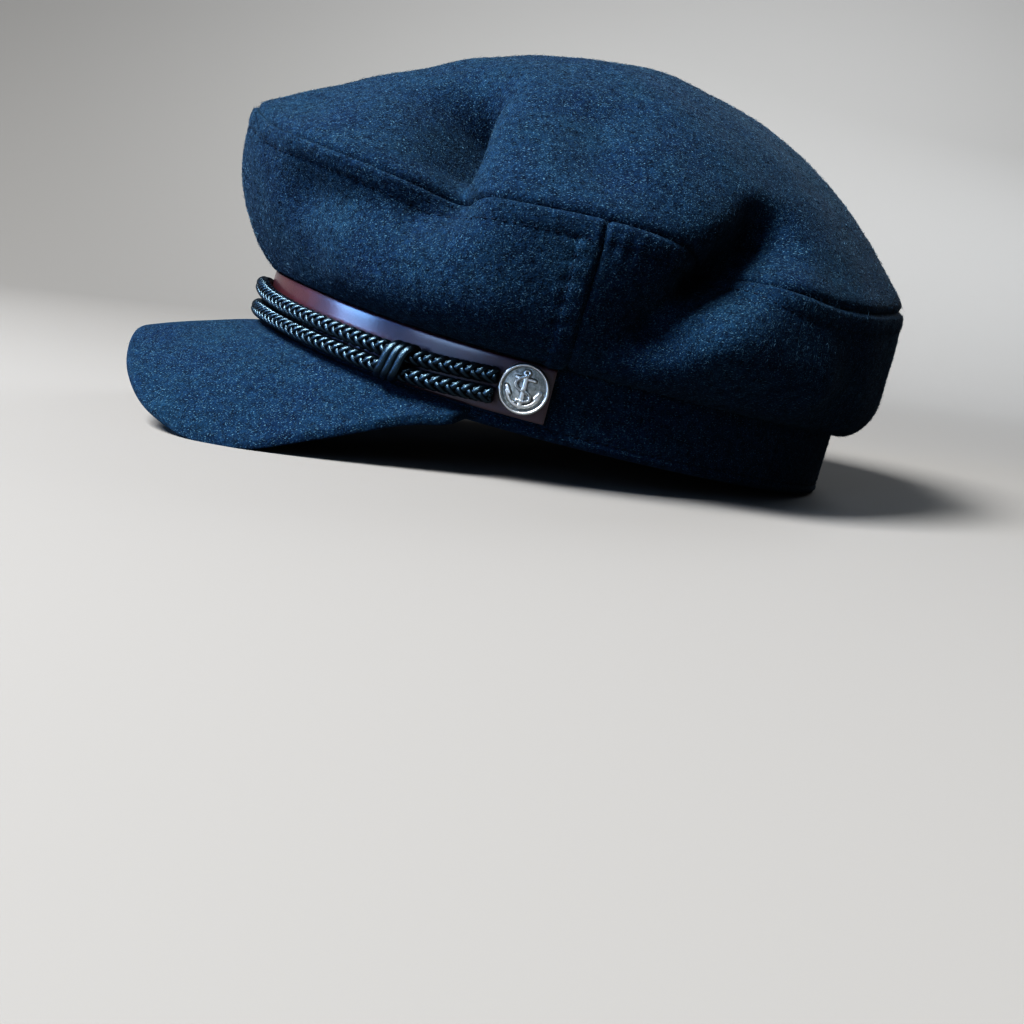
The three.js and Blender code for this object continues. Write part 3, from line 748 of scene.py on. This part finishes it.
def peak_top(sweep, share):
    """Upper face: from the root on the band (share 0) to the swept edge (share 1)."""
    sweep, share = np.broadcast_arrays(sweep, share)
    turn = np.radians(sweep)
    x, y = PEAK_WIDE * blunt(np.sin(turn)), PEAK_BACK - PEAK_LONG * blunt(np.cos(turn))
    edge = np.stack([x, y, table_curve(PEAK_EDGE_HIGH, PEAK_EDGE_STEP, sweep, False)], -1)
    meets = sweep / PEAK_SWEEP * PEAK_MEETS
    root = on_oval(meets, GAP, PEAK_ROOT + front_lift(meets))
    points = root + (edge - root) * share[..., None]
    points[..., 2] = root[..., 2] + (edge[..., 2] - root[..., 2]) * share ** PEAK_STEEPEN
    return points


def peak_skins():
    """Upper and lower grids, both run on round the nose of the edge until they nearly meet."""
    sweep = np.linspace(-PEAK_SWEEP, PEAK_SWEEP, PEAK_ACROSS)
    upper = peak_top(sweep[None, :], np.linspace(0, 1, PEAK_ALONG)[:, None])
    upper[..., 2] += PEAK_RIPPLE * ripple(upper)
    ahead = unit(upper[-1] - upper[-2])
    bend = np.linspace(0, np.radians(NOSE_BEND), NOSE_ROWS + 1)[1:, None, None]
    half = PEAK_THICK / 2
    nose = upper[-1] + NOSE_LONG * np.sin(bend) * ahead
    over = np.concatenate([upper, nose - half * (1 - np.cos(bend)) * UP])
    under = np.concatenate([upper - PEAK_THICK * UP, nose - half * (1 + np.cos(bend)) * UP])
    return np.stack([over, under])


peak_wool = peak_skins()
peak = new_piece("peak_wool", peak_wool, wall_faces(*peak_wool.shape[1:3]), wool, ["peak"])

# %% [markdown]
# ## Leather strap
# A strip of polished leather lies on the band round the front and is cut square behind the buttons. Its
# section is a rounded oblong, given as a high power curve, so that the two long edges look burnished.

# %% Leather strap
STRAP_END, STRAP_LOW, STRAP_HIGH, STRAP_THICK = 82.5, 4.5, 16.8, 1.3
STRAP_ACROSS, STRAP_UP = 300, 26
STRAP_SQUARE, STRAP_REACH = 14, 0.9998
STRAP_FACE, STRAP_MIDDLE = GAP + STRAP_THICK, STRAP_LOW + STRAP_HIGH / 2


def strap_skins():
    """Front and back grids: half the thickness falls to almost nothing at the edges, as the root of one
    minus a high power of the way from the middle to the edge."""
    angle = np.linspace(-STRAP_END, STRAP_END, STRAP_ACROSS)[None, :]
    u = STRAP_REACH * np.sin(np.linspace(-np.pi / 2, np.pi / 2, STRAP_UP))[:, None]
    half = STRAP_THICK / 2 * np.sqrt(1 - u ** STRAP_SQUARE)
    high = STRAP_MIDDLE + u * STRAP_HIGH / 2 + front_lift(angle)
    return np.stack([on_oval(angle, GAP + STRAP_THICK / 2 + side * half, high) for side in (1, -1)])


strap_faces = wall_faces(STRAP_UP, STRAP_ACROSS)
leather_strap = new_piece(
    "leather_strap_strip", strap_skins(), strap_faces, leather, ["leather_strap"],
)

# %% [markdown]
# ## Braided cords
# Each cord is a round braid of eight strands: four wind one way and four the other, each going over two
# and under two. Going over and under is a wave in the distance from the cord's middle. The wave depends
# only on the turn about the cord, so the strands that lie on top line up as rows of slanted stitches,
# and two neighbouring rows make a V.

# %% Cord route and tubes
CORD_THICK, CORD_END = 5.2, 73.5
CORD_ROUTE_STEP = 20
CORD_APART = [3.9, 2.95, 2.8, 2.8, 2.9]
CORD_DROP = [1.2, 2.1, 2.4, 2.2, -0.2]
CORD_LIFT = [0, 0, 0.3, 1.5, 0]


def cord_table(column, angle):
    """A measure of the cords at an angle from the front, the same on both sides."""
    return table_curve(column, CORD_ROUTE_STEP, angle, False)


def cord_middle(angle, side):
    """Middle of a cord on the strap's face: side 1 is the upper cord and -1 the lower one."""
    out = STRAP_FACE + GAP + CORD_THICK / 2 + cord_table(CORD_LIFT, angle)
    apart, drop = cord_table(CORD_APART, angle), cord_table(CORD_DROP, angle)
    return on_oval(angle, out, STRAP_MIDDLE + front_lift(angle) + side * apart - drop)


def tubes(paths, wide_way, thick_way, half_wide, half_thick, sides):
    """Oval sections carried along many paths: path plus wide times cosine plus thick times sine."""
    turn = 2 * np.pi * np.arange(sides) / sides
    wide = np.asarray(half_wide)[..., None, None] * np.cos(turn)[:, None] * wide_way[..., None, :]
    thick = np.asarray(half_thick)[..., None, None] * np.sin(turn)[:, None] * thick_way[..., None, :]
    return paths[..., None, :] + wide + thick


def tube_faces(count, steps, sides):
    """Quads of count closed tubes, and a flat cap at both ends of each."""
    shift = np.arange(count)[:, None, None] * steps * sides
    quads = grid_faces(steps, sides, columns_close=True)[None] + shift
    ring = np.arange(sides)[None, None]
    caps = np.concatenate([ring[..., ::-1] + shift, ring + shift + (steps - 1) * sides])
    return [quads.reshape(-1, 4), caps.reshape(-1, sides)]


print("upper cord at the middle of the front, mm:", cord_middle(0.0, 1).round(1).tolist())

# %% Braided cords
STRANDS_EACH_WAY, BRAID_PITCH = 4, 12.6
BRAID_RADIUS, BRAID_WAVE, BRAID_SQUARE = 1.78, 0.38, 1.5
STRAND_WIDE, STRAND_THICK, STRAND_SIDES = 0.86, 0.62, 8
CORD_STEPS, FINE_STEPS, CORE_RADIUS = 520, 4000, 1.4


def even_angles(side):
    """Angles along a cord at equal distances, and those distances."""
    angle = np.linspace(-CORD_END, CORD_END, FINE_STEPS)
    run = run_length(cord_middle(angle, side), 0)
    even = np.linspace(0, run[-1], CORD_STEPS)
    return np.interp(even, run, angle), even


def over_two(crossing):
    """A wave that stays up for two crossings and down for two: a cosine cut off flat."""
    return np.clip(BRAID_SQUARE * np.cos(np.pi * (crossing - 0.5) / 2), -1, 1)


def braid(side):
    """Strand k of a way turns about the cord by its start plus or minus the distance over the pitch. Its
    distance from the middle is the braid's radius plus or minus the wave of that turn."""
    angle, run = even_angles(side)
    middle, out = cord_middle(angle, side), oval_normal(angle)
    start = 2 * np.pi * np.arange(STRANDS_EACH_WAY)[:, None] / STRANDS_EACH_WAY
    paths, radial = [], []
    for way in (1, -1):
        turn = start + way * 2 * np.pi * run[None, :] / BRAID_PITCH
        spin = (turn + np.pi / (2 * STRANDS_EACH_WAY))[..., None]
        reach = BRAID_RADIUS + way * BRAID_WAVE * over_two(STRANDS_EACH_WAY * turn / np.pi)
        radial.append(np.cos(spin) * out[None] + np.sin(spin) * UP)
        paths.append(middle[None] + reach[..., None] * radial[-1])
    paths, radial = np.concatenate(paths), np.concatenate(radial)
    across = unit(np.cross(slope(paths, 1), radial))
    strands = tubes(paths, across, radial, STRAND_WIDE, STRAND_THICK, STRAND_SIDES)
    upright = np.broadcast_to(UP, middle.shape)
    core = tubes(middle, upright, out, CORE_RADIUS, CORE_RADIUS, STRAND_SIDES)
    return np.concatenate([strands, core[None]])


cord_faces = tube_faces(2 * STRANDS_EACH_WAY + 1, CORD_STEPS, STRAND_SIDES)
cord_upper = new_piece("cord_upper_braid", braid(1), cord_faces, yarn, ["cord_upper"])
cord_lower = new_piece("cord_lower_braid", braid(-1), cord_faces, yarn, ["cord_lower"])
print("cord lengths in mm:", [round(even_angles(side)[1][-1], 1) for side in (1, -1)])

# %% [markdown]
# ## Knots
# On each side a length of smooth cord is wound slantwise round both braids and holds them together. One
# winding path does it: a long round outline about both cords that moves along them with every turn,
# and leans as it crosses their front. Behind them, against the strap, the cord is squeezed thin.

# %% Knots
KNOT_ANGLE, KNOT_TURNS, KNOT_PITCH, KNOT_SLANT = 57, 3, 2.4, 1.9
KNOT_WIDE, KNOT_THICK, KNOT_BEHIND, KNOT_SQUEEZE = 1.3, 0.9, 0.5, 0.82
KNOT_ROOM, KNOT_CORNER = 0.1, 0.12
KNOT_STEPS, KNOT_SIDES = 360, 12


def knot(side):
    """Turn t about both cords: out and up follow a long round outline, and the place along the cords is
    the pitch times the turns plus the slant times the sine."""
    turn = np.linspace(np.pi, (2 * KNOT_TURNS + 1) * np.pi, KNOT_STEPS)
    cos, sin = np.cos(turn), np.sin(turn)
    turns = turn / (2 * np.pi)
    along = KNOT_PITCH * (turns - turns.mean()) + KNOT_SLANT * sin
    degree = np.linalg.norm(cord_middle(KNOT_ANGLE + 0.5, 1) - cord_middle(KNOT_ANGLE - 0.5, 1))
    angle = side * (KNOT_ANGLE + along / degree)
    out = oval_normal(angle)
    thick = KNOT_BEHIND + (KNOT_THICK - KNOT_BEHIND) * (1 + cos) / 2
    around = CORD_THICK / 2 + KNOT_ROOM + thick
    apart = KNOT_SQUEEZE * cord_table(CORD_APART, angle)
    rise = around * sin + apart * sin / np.sqrt(sin ** 2 + KNOT_CORNER)
    middle = (cord_middle(angle, 1) + cord_middle(angle, -1)) / 2
    path = middle + (around * cos)[:, None] * out + rise[:, None] * UP
    ray = cos[:, None] * out + sin[:, None] * UP
    across = unit(np.cross(slope(path, 0), ray))
    return tubes(path, across, ray, np.full(KNOT_STEPS, KNOT_WIDE), thick, KNOT_SIDES)


knot_faces = tube_faces(1, KNOT_STEPS, KNOT_SIDES)
knot_left = new_piece("knot_left_wrap", knot(1), knot_faces, yarn, ["knot_left"])
knot_right = new_piece("knot_right_wrap", knot(-1), knot_faces, yarn, ["knot_right"])

# %% [markdown]
# ## Anchor buttons
# A cast button is a turned disc with a picture raised on its face. Modelling the anchor bar by bar would
# leave hard joints, so the face is one height over a round grid: each part of the anchor is a distance
# to a line or an arc, turned into a flat topped ridge, and the highest ridge wins.

# %% The anchor's relief
ANCHOR_HIGH = 1.15
ARM_STOPS = [(0, -5.2), (1.9, -4.7), (3.6, -3.4), (4.7, -1.6)]
ROPE_STOPS = [
    (0.4, 4.0), (-1.5, 2.9), (-2.6, 1.4), (-1.7, -0.1), (0.3, -0.7), (2.0, -1.5), (2.2, -2.9),
    (0.6, -3.6), (-1.3, -3.5),
]
ROPE_TWIST, ROPE_TWIST_WAVES, ROPE_TWIST_SLANT = 0.15, 8, 1.6


def ridge(distance, half_wide, high):
    """A ridge with a flat top and round sides: its share of the anchor's height at the line, and nothing
    at its half width, as the root of one minus a fourth power."""
    return high * ANCHOR_HIGH * np.sqrt(np.clip(1 - (distance / half_wide) ** 4, 0, 1))


def bar_distance(points, start, end):
    """Distance to one straight bar."""
    return line_distance(points, np.array([start, end], float))


def smooth_line(stops, count):
    """A smooth curve through stops, as a chain of short stretches."""
    stops = np.asarray(stops, float)
    padded = np.concatenate([[2 * stops[0] - stops[1]], stops, [2 * stops[-1] - stops[-2]]])
    return curve_through(padded, np.linspace(0, len(stops) - 1, count))


def anchor_relief(points):
    """Height of shank, stock, arms, flukes, ring and rope above the ground, at points of the face."""
    x, y = points[..., 0], points[..., 1]
    side = np.stack([np.abs(x), y], -1)
    twist = 1 + ROPE_TWIST * np.sin(ROPE_TWIST_WAVES * (x + ROPE_TWIST_SLANT * y))
    ridges = [
        ridge(bar_distance(points, (0, -5.2), (0, 3.9)), 0.80, 0.9),
        ridge(bar_distance(points, (-2.7, 3.0), (2.7, 3.0)), 0.58, 0.85),
        ridge(line_distance(side, smooth_line(ARM_STOPS, 24)), 0.62, 0.9),
        ridge(bar_distance(side, (3.9, -1.9), (4.9, -0.3)), 0.80, 0.85),
        ridge(np.abs(np.hypot(x, y - 4.7) - 0.75), 0.40, 0.8),
        ridge(line_distance(points, smooth_line(ROPE_STOPS, 60)), 0.52, 1) * twist,
    ]
    return np.max(ridges, axis=0)


print("height of the shank's middle, mm:", anchor_relief(np.array([[0.0, 1.5]])).round(2).tolist())

# %% Buttons
BUTTON_ANGLE, BUTTON_RADIUS, SHANK_RADIUS, SHANK_HIGH = 78, 7.5, 2.6, 0.8
BUTTON_RAISED = 0.5
RIM_TOP, RIM_ROUND, RIM_ROWS = 3.6, 1.0, 15
GROUND_TOP, GROUND_DOME, FACE_RADIUS = 2.35, 0.6, 6.3
FACE_MIDDLE, BACK_MIDDLE = 0.03, 0.05
FACE_ROWS, BUTTON_ROUND = 84, 240


def button_profile():
    """(radius, height) from the middle of the face, over the rim and down behind to the shank."""
    r = np.linspace(FACE_MIDDLE, FACE_RADIUS, FACE_ROWS)
    face = np.stack([r, GROUND_TOP + GROUND_DOME * (1 - (r / FACE_RADIUS) ** 2)], -1)
    turn = np.linspace(np.pi, 0, RIM_ROWS)
    half = (BUTTON_RADIUS - FACE_RADIUS) / 2
    rim = np.stack([FACE_RADIUS + half + half * np.cos(turn), RIM_TOP + RIM_ROUND * (np.sin(turn) - 1)], -1)
    edge = [(BUTTON_RADIUS, 1.9), (BUTTON_RADIUS - 0.12, 1.35), (BUTTON_RADIUS - 0.6, SHANK_HIGH)]
    shank = [(SHANK_RADIUS + 0.3, SHANK_HIGH), (SHANK_RADIUS, SHANK_HIGH - 0.25), (SHANK_RADIUS, 0)]
    return np.concatenate([face, rim, edge, shank, [(BACK_MIDDLE, 0)]])


def button(side):
    """The profile turned round, with the anchor's relief added on its face and stood on the strap."""
    radius, high = button_profile().T[..., None]
    turn = 2 * np.pi * np.arange(BUTTON_ROUND)[None, :] / BUTTON_ROUND
    flat = np.stack([radius * np.cos(turn), radius * np.sin(turn)], -1)
    raised = np.zeros(flat.shape[:2])
    raised[:FACE_ROWS] = anchor_relief(flat[:FACE_ROWS])
    relief = np.where(np.arange(len(radius))[:, None] < FACE_ROWS, raised / ANCHOR_HIGH, 1.0)
    angle = side * BUTTON_ANGLE
    out = oval_normal(angle)
    base = on_oval(angle, STRAP_FACE, STRAP_MIDDLE + BUTTON_RAISED + front_lift(angle)) + GAP * out
    points = base + flat[..., :1] * np.cross(UP, out) + flat[..., 1:] * UP + (high + raised)[..., None] * out
    return points, relief


def add_button(name, side, node):
    """The piece of a button, with its relief kept for the finish."""
    points, relief = button(side)
    faces = tube_faces(1, *points.shape[:2])
    return new_piece(name, points, faces, silver, [node], {"relief": relief})


button_left = add_button("button_left_cast", 1, "button_left")
button_right = add_button("button_right_cast", -1, "button_right")

# %% [markdown]
# ## Stitches
# The rows of stitches lie in the dips that the panels already have. Each stitch is a short thick thread
# whose ends sink into the cloth. One small tube, copied along a path at even distances, makes a whole
# row, and all rows of the cap become one piece.

# %% Stitches
STITCH_STEP, STITCH_LONG, STITCH_RADIUS = 3.0, 2.3, 0.27
STITCH_LIFT, STITCH_SINK, STITCH_TAPER = 0.02, 0.4, 0.45
STITCH_RINGS, STITCH_SIDES = 5, 6
RIM_STITCH_OUT, RIM_STITCH_STOPS = -0.1, 800


def level_line(grid, normal, measure, level):
    """Points and normals of a grid where a measure that falls along the rows passes a level."""
    row = np.clip((measure > level).sum(0) - 1, 0, len(measure) - 2)
    column = np.arange(measure.shape[1])
    above, below = measure[row, column], measure[row + 1, column]
    f = np.clip((above - level) / np.maximum(above - below, 1e-9), 0, 1)[:, None]
    return [a[row, column] + (a[row + 1, column] - a[row, column]) * f for a in (grid, normal)]


def stitch_row(points, normals):
    """Short tubes at even distances along a path, sunk at both ends."""
    run = run_length(points, 0)
    at = np.arange(STITCH_STEP, run[-1] - STITCH_STEP, STITCH_STEP)
    t = np.linspace(-1, 1, STITCH_RINGS)
    where = at[:, None] + t * STITCH_LONG / 2
    line, out = (np.stack([np.interp(where, run, a[:, k]) for k in range(3)], -1) for a in (points, normals))
    out = unit(out)
    line = line + out * (STITCH_LIFT - STITCH_SINK * t ** 2)[:, None]
    across = unit(np.cross(slope(line, 1), out))
    thin = STITCH_RADIUS * np.broadcast_to(1 - STITCH_TAPER * t ** 2, where.shape)
    return tubes(line, across, out, thin, thin, STITCH_SIDES)


def top_row(panel):
    """The row below the top seam on a side panel."""
    return level_line(panel.outer, panel.normal, panel.to_top, BORDER_WIDE)


def side_row(panel, away, turned):
    """The row beside a side seam, up to the border of the top seam."""
    grids = [np.swapaxes(a, 0, 1) for a in (panel.outer, panel.normal, away)]
    grids = [a[::-1] for a in grids] if turned else grids
    free = panel.to_top[:, PANEL_ACROSS // 2] > BORDER_WIDE
    return [a[free] for a in level_line(*grids, BORDER_WIDE)]


def rim_row():
    """The row round the band above its folded rim."""
    angle = np.linspace(-180, 180, RIM_STITCH_STOPS)
    return on_oval(angle, RIM_STITCH_OUT, RIM_STITCH + front_lift(angle)), oval_normal(angle)


sides = [side_row(front_wool, away, turned) for away, turned in zip(front_wool.to_ends, (True, False))]
rows = [top_row(front_wool), top_row(back_wool), *sides, rim_row()]
stitches = np.concatenate([stitch_row(*row) for row in rows])
stitch_faces = tube_faces(len(stitches), STITCH_RINGS, STITCH_SIDES)
stitching = new_piece("stitching", stitches, stitch_faces, thread)

# %% [markdown]
# ## Loose fibres
# What makes the cloth read as wool is its nap: thousands of short pale hairs. A particle system could
# grow them, but then nothing would be left of them outside Blender. Here each hair is a thin closed
# needle. A seeded draw picks cells of a panel's grid by their area, a spot in each and a direction.

# %% Loose fibres
FIBRE_LONG, FIBRE_WIDE, FIBRE_LIFT = 1.7, 0.085, 0.42
FIBRE_SHORTEST, FIBRE_LONGEST, FIBRE_ROOM = 0.5, 1.3, 0.05
NEEDLE = np.array([[0, 1, 2], [1, 0, 3], [2, 1, 3], [0, 2, 3]])


def draw_spots(grid, normal, count, draw):
    """Spots spread evenly by area over a grid, with the normal and one direction along the cloth."""
    a, b, c, d = grid[:-1, :-1], grid[:-1, 1:], grid[1:, 1:], grid[1:, :-1]
    area = 0.5 * np.linalg.norm(np.cross(c - a, d - b), axis=-1)
    cell = draw.choice(area.size, count, p=area.ravel() / area.sum())
    i, j = np.unravel_index(cell, area.shape)
    s, t = draw.random((2, count, 1))
    spot = (a[i, j] * (1 - s) + b[i, j] * s) * (1 - t) + (d[i, j] * (1 - s) + c[i, j] * s) * t
    return spot, normal[i, j], unit(b[i, j] - a[i, j])


def needles(spot, out, along, draw):
    """Three corners at the root and one at the tip, leaning along a random direction of the cloth."""
    count = len(spot)
    turn = draw.uniform(0, 2 * np.pi, (count, 1))
    lie = np.cos(turn) * along + np.sin(turn) * unit(np.cross(out, along))
    way = unit(lie + out * FIBRE_LIFT * draw.random((count, 1)) ** 2)
    side = unit(np.cross(way, out))
    up = np.cross(side, way)
    long = FIBRE_LONG * draw.uniform(FIBRE_SHORTEST, FIBRE_LONGEST, (count, 1))
    root = spot + out * FIBRE_ROOM
    half = FIBRE_WIDE / 2 * side
    return np.stack([root + half, root - half, root + FIBRE_WIDE * up, root + way * long], 1)


def grow_fibres(name, grid, normal, count, seed):
    """One piece of count needles on a grid, from a seeded draw."""
    draw = np.random.default_rng(seed)
    hairs = needles(*draw_spots(grid, normal, count, draw), draw)
    faces = (NEEDLE[None] + 4 * np.arange(count)[:, None, None]).reshape(-1, 3)
    return new_piece(name, hairs, faces, fibre)


peak_normal = unit(np.cross(slope(peak_wool[0], 1), slope(peak_wool[0], 0)))
band_outer = band_grid[BAND_ROWS + FOLD_ROWS:]
band_normal = np.broadcast_to(oval_normal(band_angle)[None], band_outer.shape)
grow_fibres("crown_top_fibres", top_wool.outer, top_wool.normal, 22000, 1)
grow_fibres("crown_front_fibres", front_wool.outer, front_wool.normal, 12000, 2)
grow_fibres("crown_back_fibres", back_wool.outer, back_wool.normal, 12000, 3)
grow_fibres("peak_fibres", peak_wool[0], peak_normal, 8000, 4)
grow_fibres("head_band_fibres", band_outer, band_normal, 6000, 5)

# %% [markdown]
# ## Cloth
# The panels are cut flat and sewn.


# %% [markdown]
# ## Floor and light
# A wide pale dish stands in for a studio's paper sweep: flat under the cap and rising far away on every
# side, so no horizon shows from anywhere. One large soft key light from the front and above draws the
# folds. A low bluish window in front of the peak gives the leather its long highlight, and a fill beside
# the camera opens the shadows. These two stand close to the floor, so their cones are narrow and leave no
# bright patch on it. A lamp behind shows the back, and one turned away lights the backdrop.

# %% Floor
FLOOR_FLAT, FLOOR_REACH, FLOOR_RISE = 0.9, 3.0, 2.2
FLOOR_ROWS, FLOOR_ROUND, FLOOR_MIDDLE = 60, 96, 0.02
PAPER_COLOUR = (0.115, 0.114, 0.112, 1)


def floor_dish():
    """Rings of growing radius; beyond the flat part the height rises as a square."""
    radius = np.linspace(FLOOR_MIDDLE, FLOOR_REACH, FLOOR_ROWS)[:, None]
    t = np.clip((radius - FLOOR_FLAT) / (FLOOR_REACH - FLOOR_FLAT), 0, 1)
    turn = 2 * np.pi * np.arange(FLOOR_ROUND)[None, :] / FLOOR_ROUND
    high = np.broadcast_to(FLOOR_RISE * t * t, (FLOOR_ROWS, FLOOR_ROUND))
    return np.stack([radius * np.cos(turn), radius * np.sin(turn), high], -1)


def add_floor():
    """The dish as one mesh, with a flat face in its middle."""
    points = floor_dish()
    quads = grid_faces(FLOOR_ROWS, FLOOR_ROUND, columns_close=True)[:, ::-1]
    mesh = bpy.data.meshes.new("floor")
    mesh.from_pydata(points.reshape(-1, 3).tolist(), [], [list(range(FLOOR_ROUND)), *quads.tolist()])
    mesh.polygons.foreach_set("use_smooth", np.ones(len(mesh.polygons), bool))
    paper, _ = new_finish("pale_paper", Base_Color=PAPER_COLOUR, Roughness=0.9, Specular_IOR_Level=0.2)
    mesh.materials.append(paper)
    floor = bpy.data.objects.new("floor", mesh)
    bpy.context.scene.collection.objects.link(floor)
    return floor


floor = add_floor()
print("floor corners:", len(floor.data.vertices))

# %% Light
CAP_MIDDLE, BACKDROP = (0.0, 0.0, 0.06), (-2.6, 0.5, 0.1)
OPEN_CONE, NARROW_CONE = 180, 100
WORLD_COLOUR, WORLD_STRENGTH = (0.80, 0.88, 1.0, 1), 0.02


def aimed(spot, target):
    """Turn that points a lamp's -Z from its spot to a target."""
    back = unit(np.subtract(spot, target))
    right = unit(np.cross(UP, back))
    return Matrix(np.array([right, np.cross(back, right), back]).T.tolist()).to_4x4()


def add_light(name, spot, side, watts, colour, cone=OPEN_CONE, target=CAP_MIDDLE):
    """A square lamp of a side in metres that faces a target, with its cone in degrees."""
    data = bpy.data.lights.new(name, "AREA")
    data.shape, data.size, data.energy, data.color = "SQUARE", side, watts, colour
    data.spread = math.radians(cone)
    lamp = bpy.data.objects.new(name, data)
    lamp.matrix_world = Matrix.Translation(spot) @ aimed(spot, target)
    bpy.context.scene.collection.objects.link(lamp)
    print(f"{name} light: {watts} W, {side} m wide")


add_light("key", (0.45, -0.90, 1.24), 0.60, 118.0, (1.0, 0.98, 0.95))
add_light("window", (0.26, -1.26, 0.36), 0.44, 3.1, (0.32, 0.58, 1.0), NARROW_CONE)
add_light("fill", (1.10, -0.86, 0.36), 0.60, 2.2, (0.50, 0.70, 1.0), NARROW_CONE)
add_light("back", (-0.90, 1.05, 0.95), 0.80, 14.0, (0.92, 0.96, 1.0))
add_light("backdrop", (-1.10, 0.40, 1.20), 1.00, 36.0, (0.96, 0.98, 1.0), target=BACKDROP)
world = bpy.data.worlds.new("studio")
world.use_nodes = True
background = world.node_tree.nodes["Background"]
background.inputs["Color"].default_value = WORLD_COLOUR
background.inputs["Strength"].default_value = WORLD_STRENGTH
bpy.context.scene.world = world
bpy.context.scene.view_settings.view_transform = "Standard"
bpy.context.scene.view_settings.look = "High Contrast"
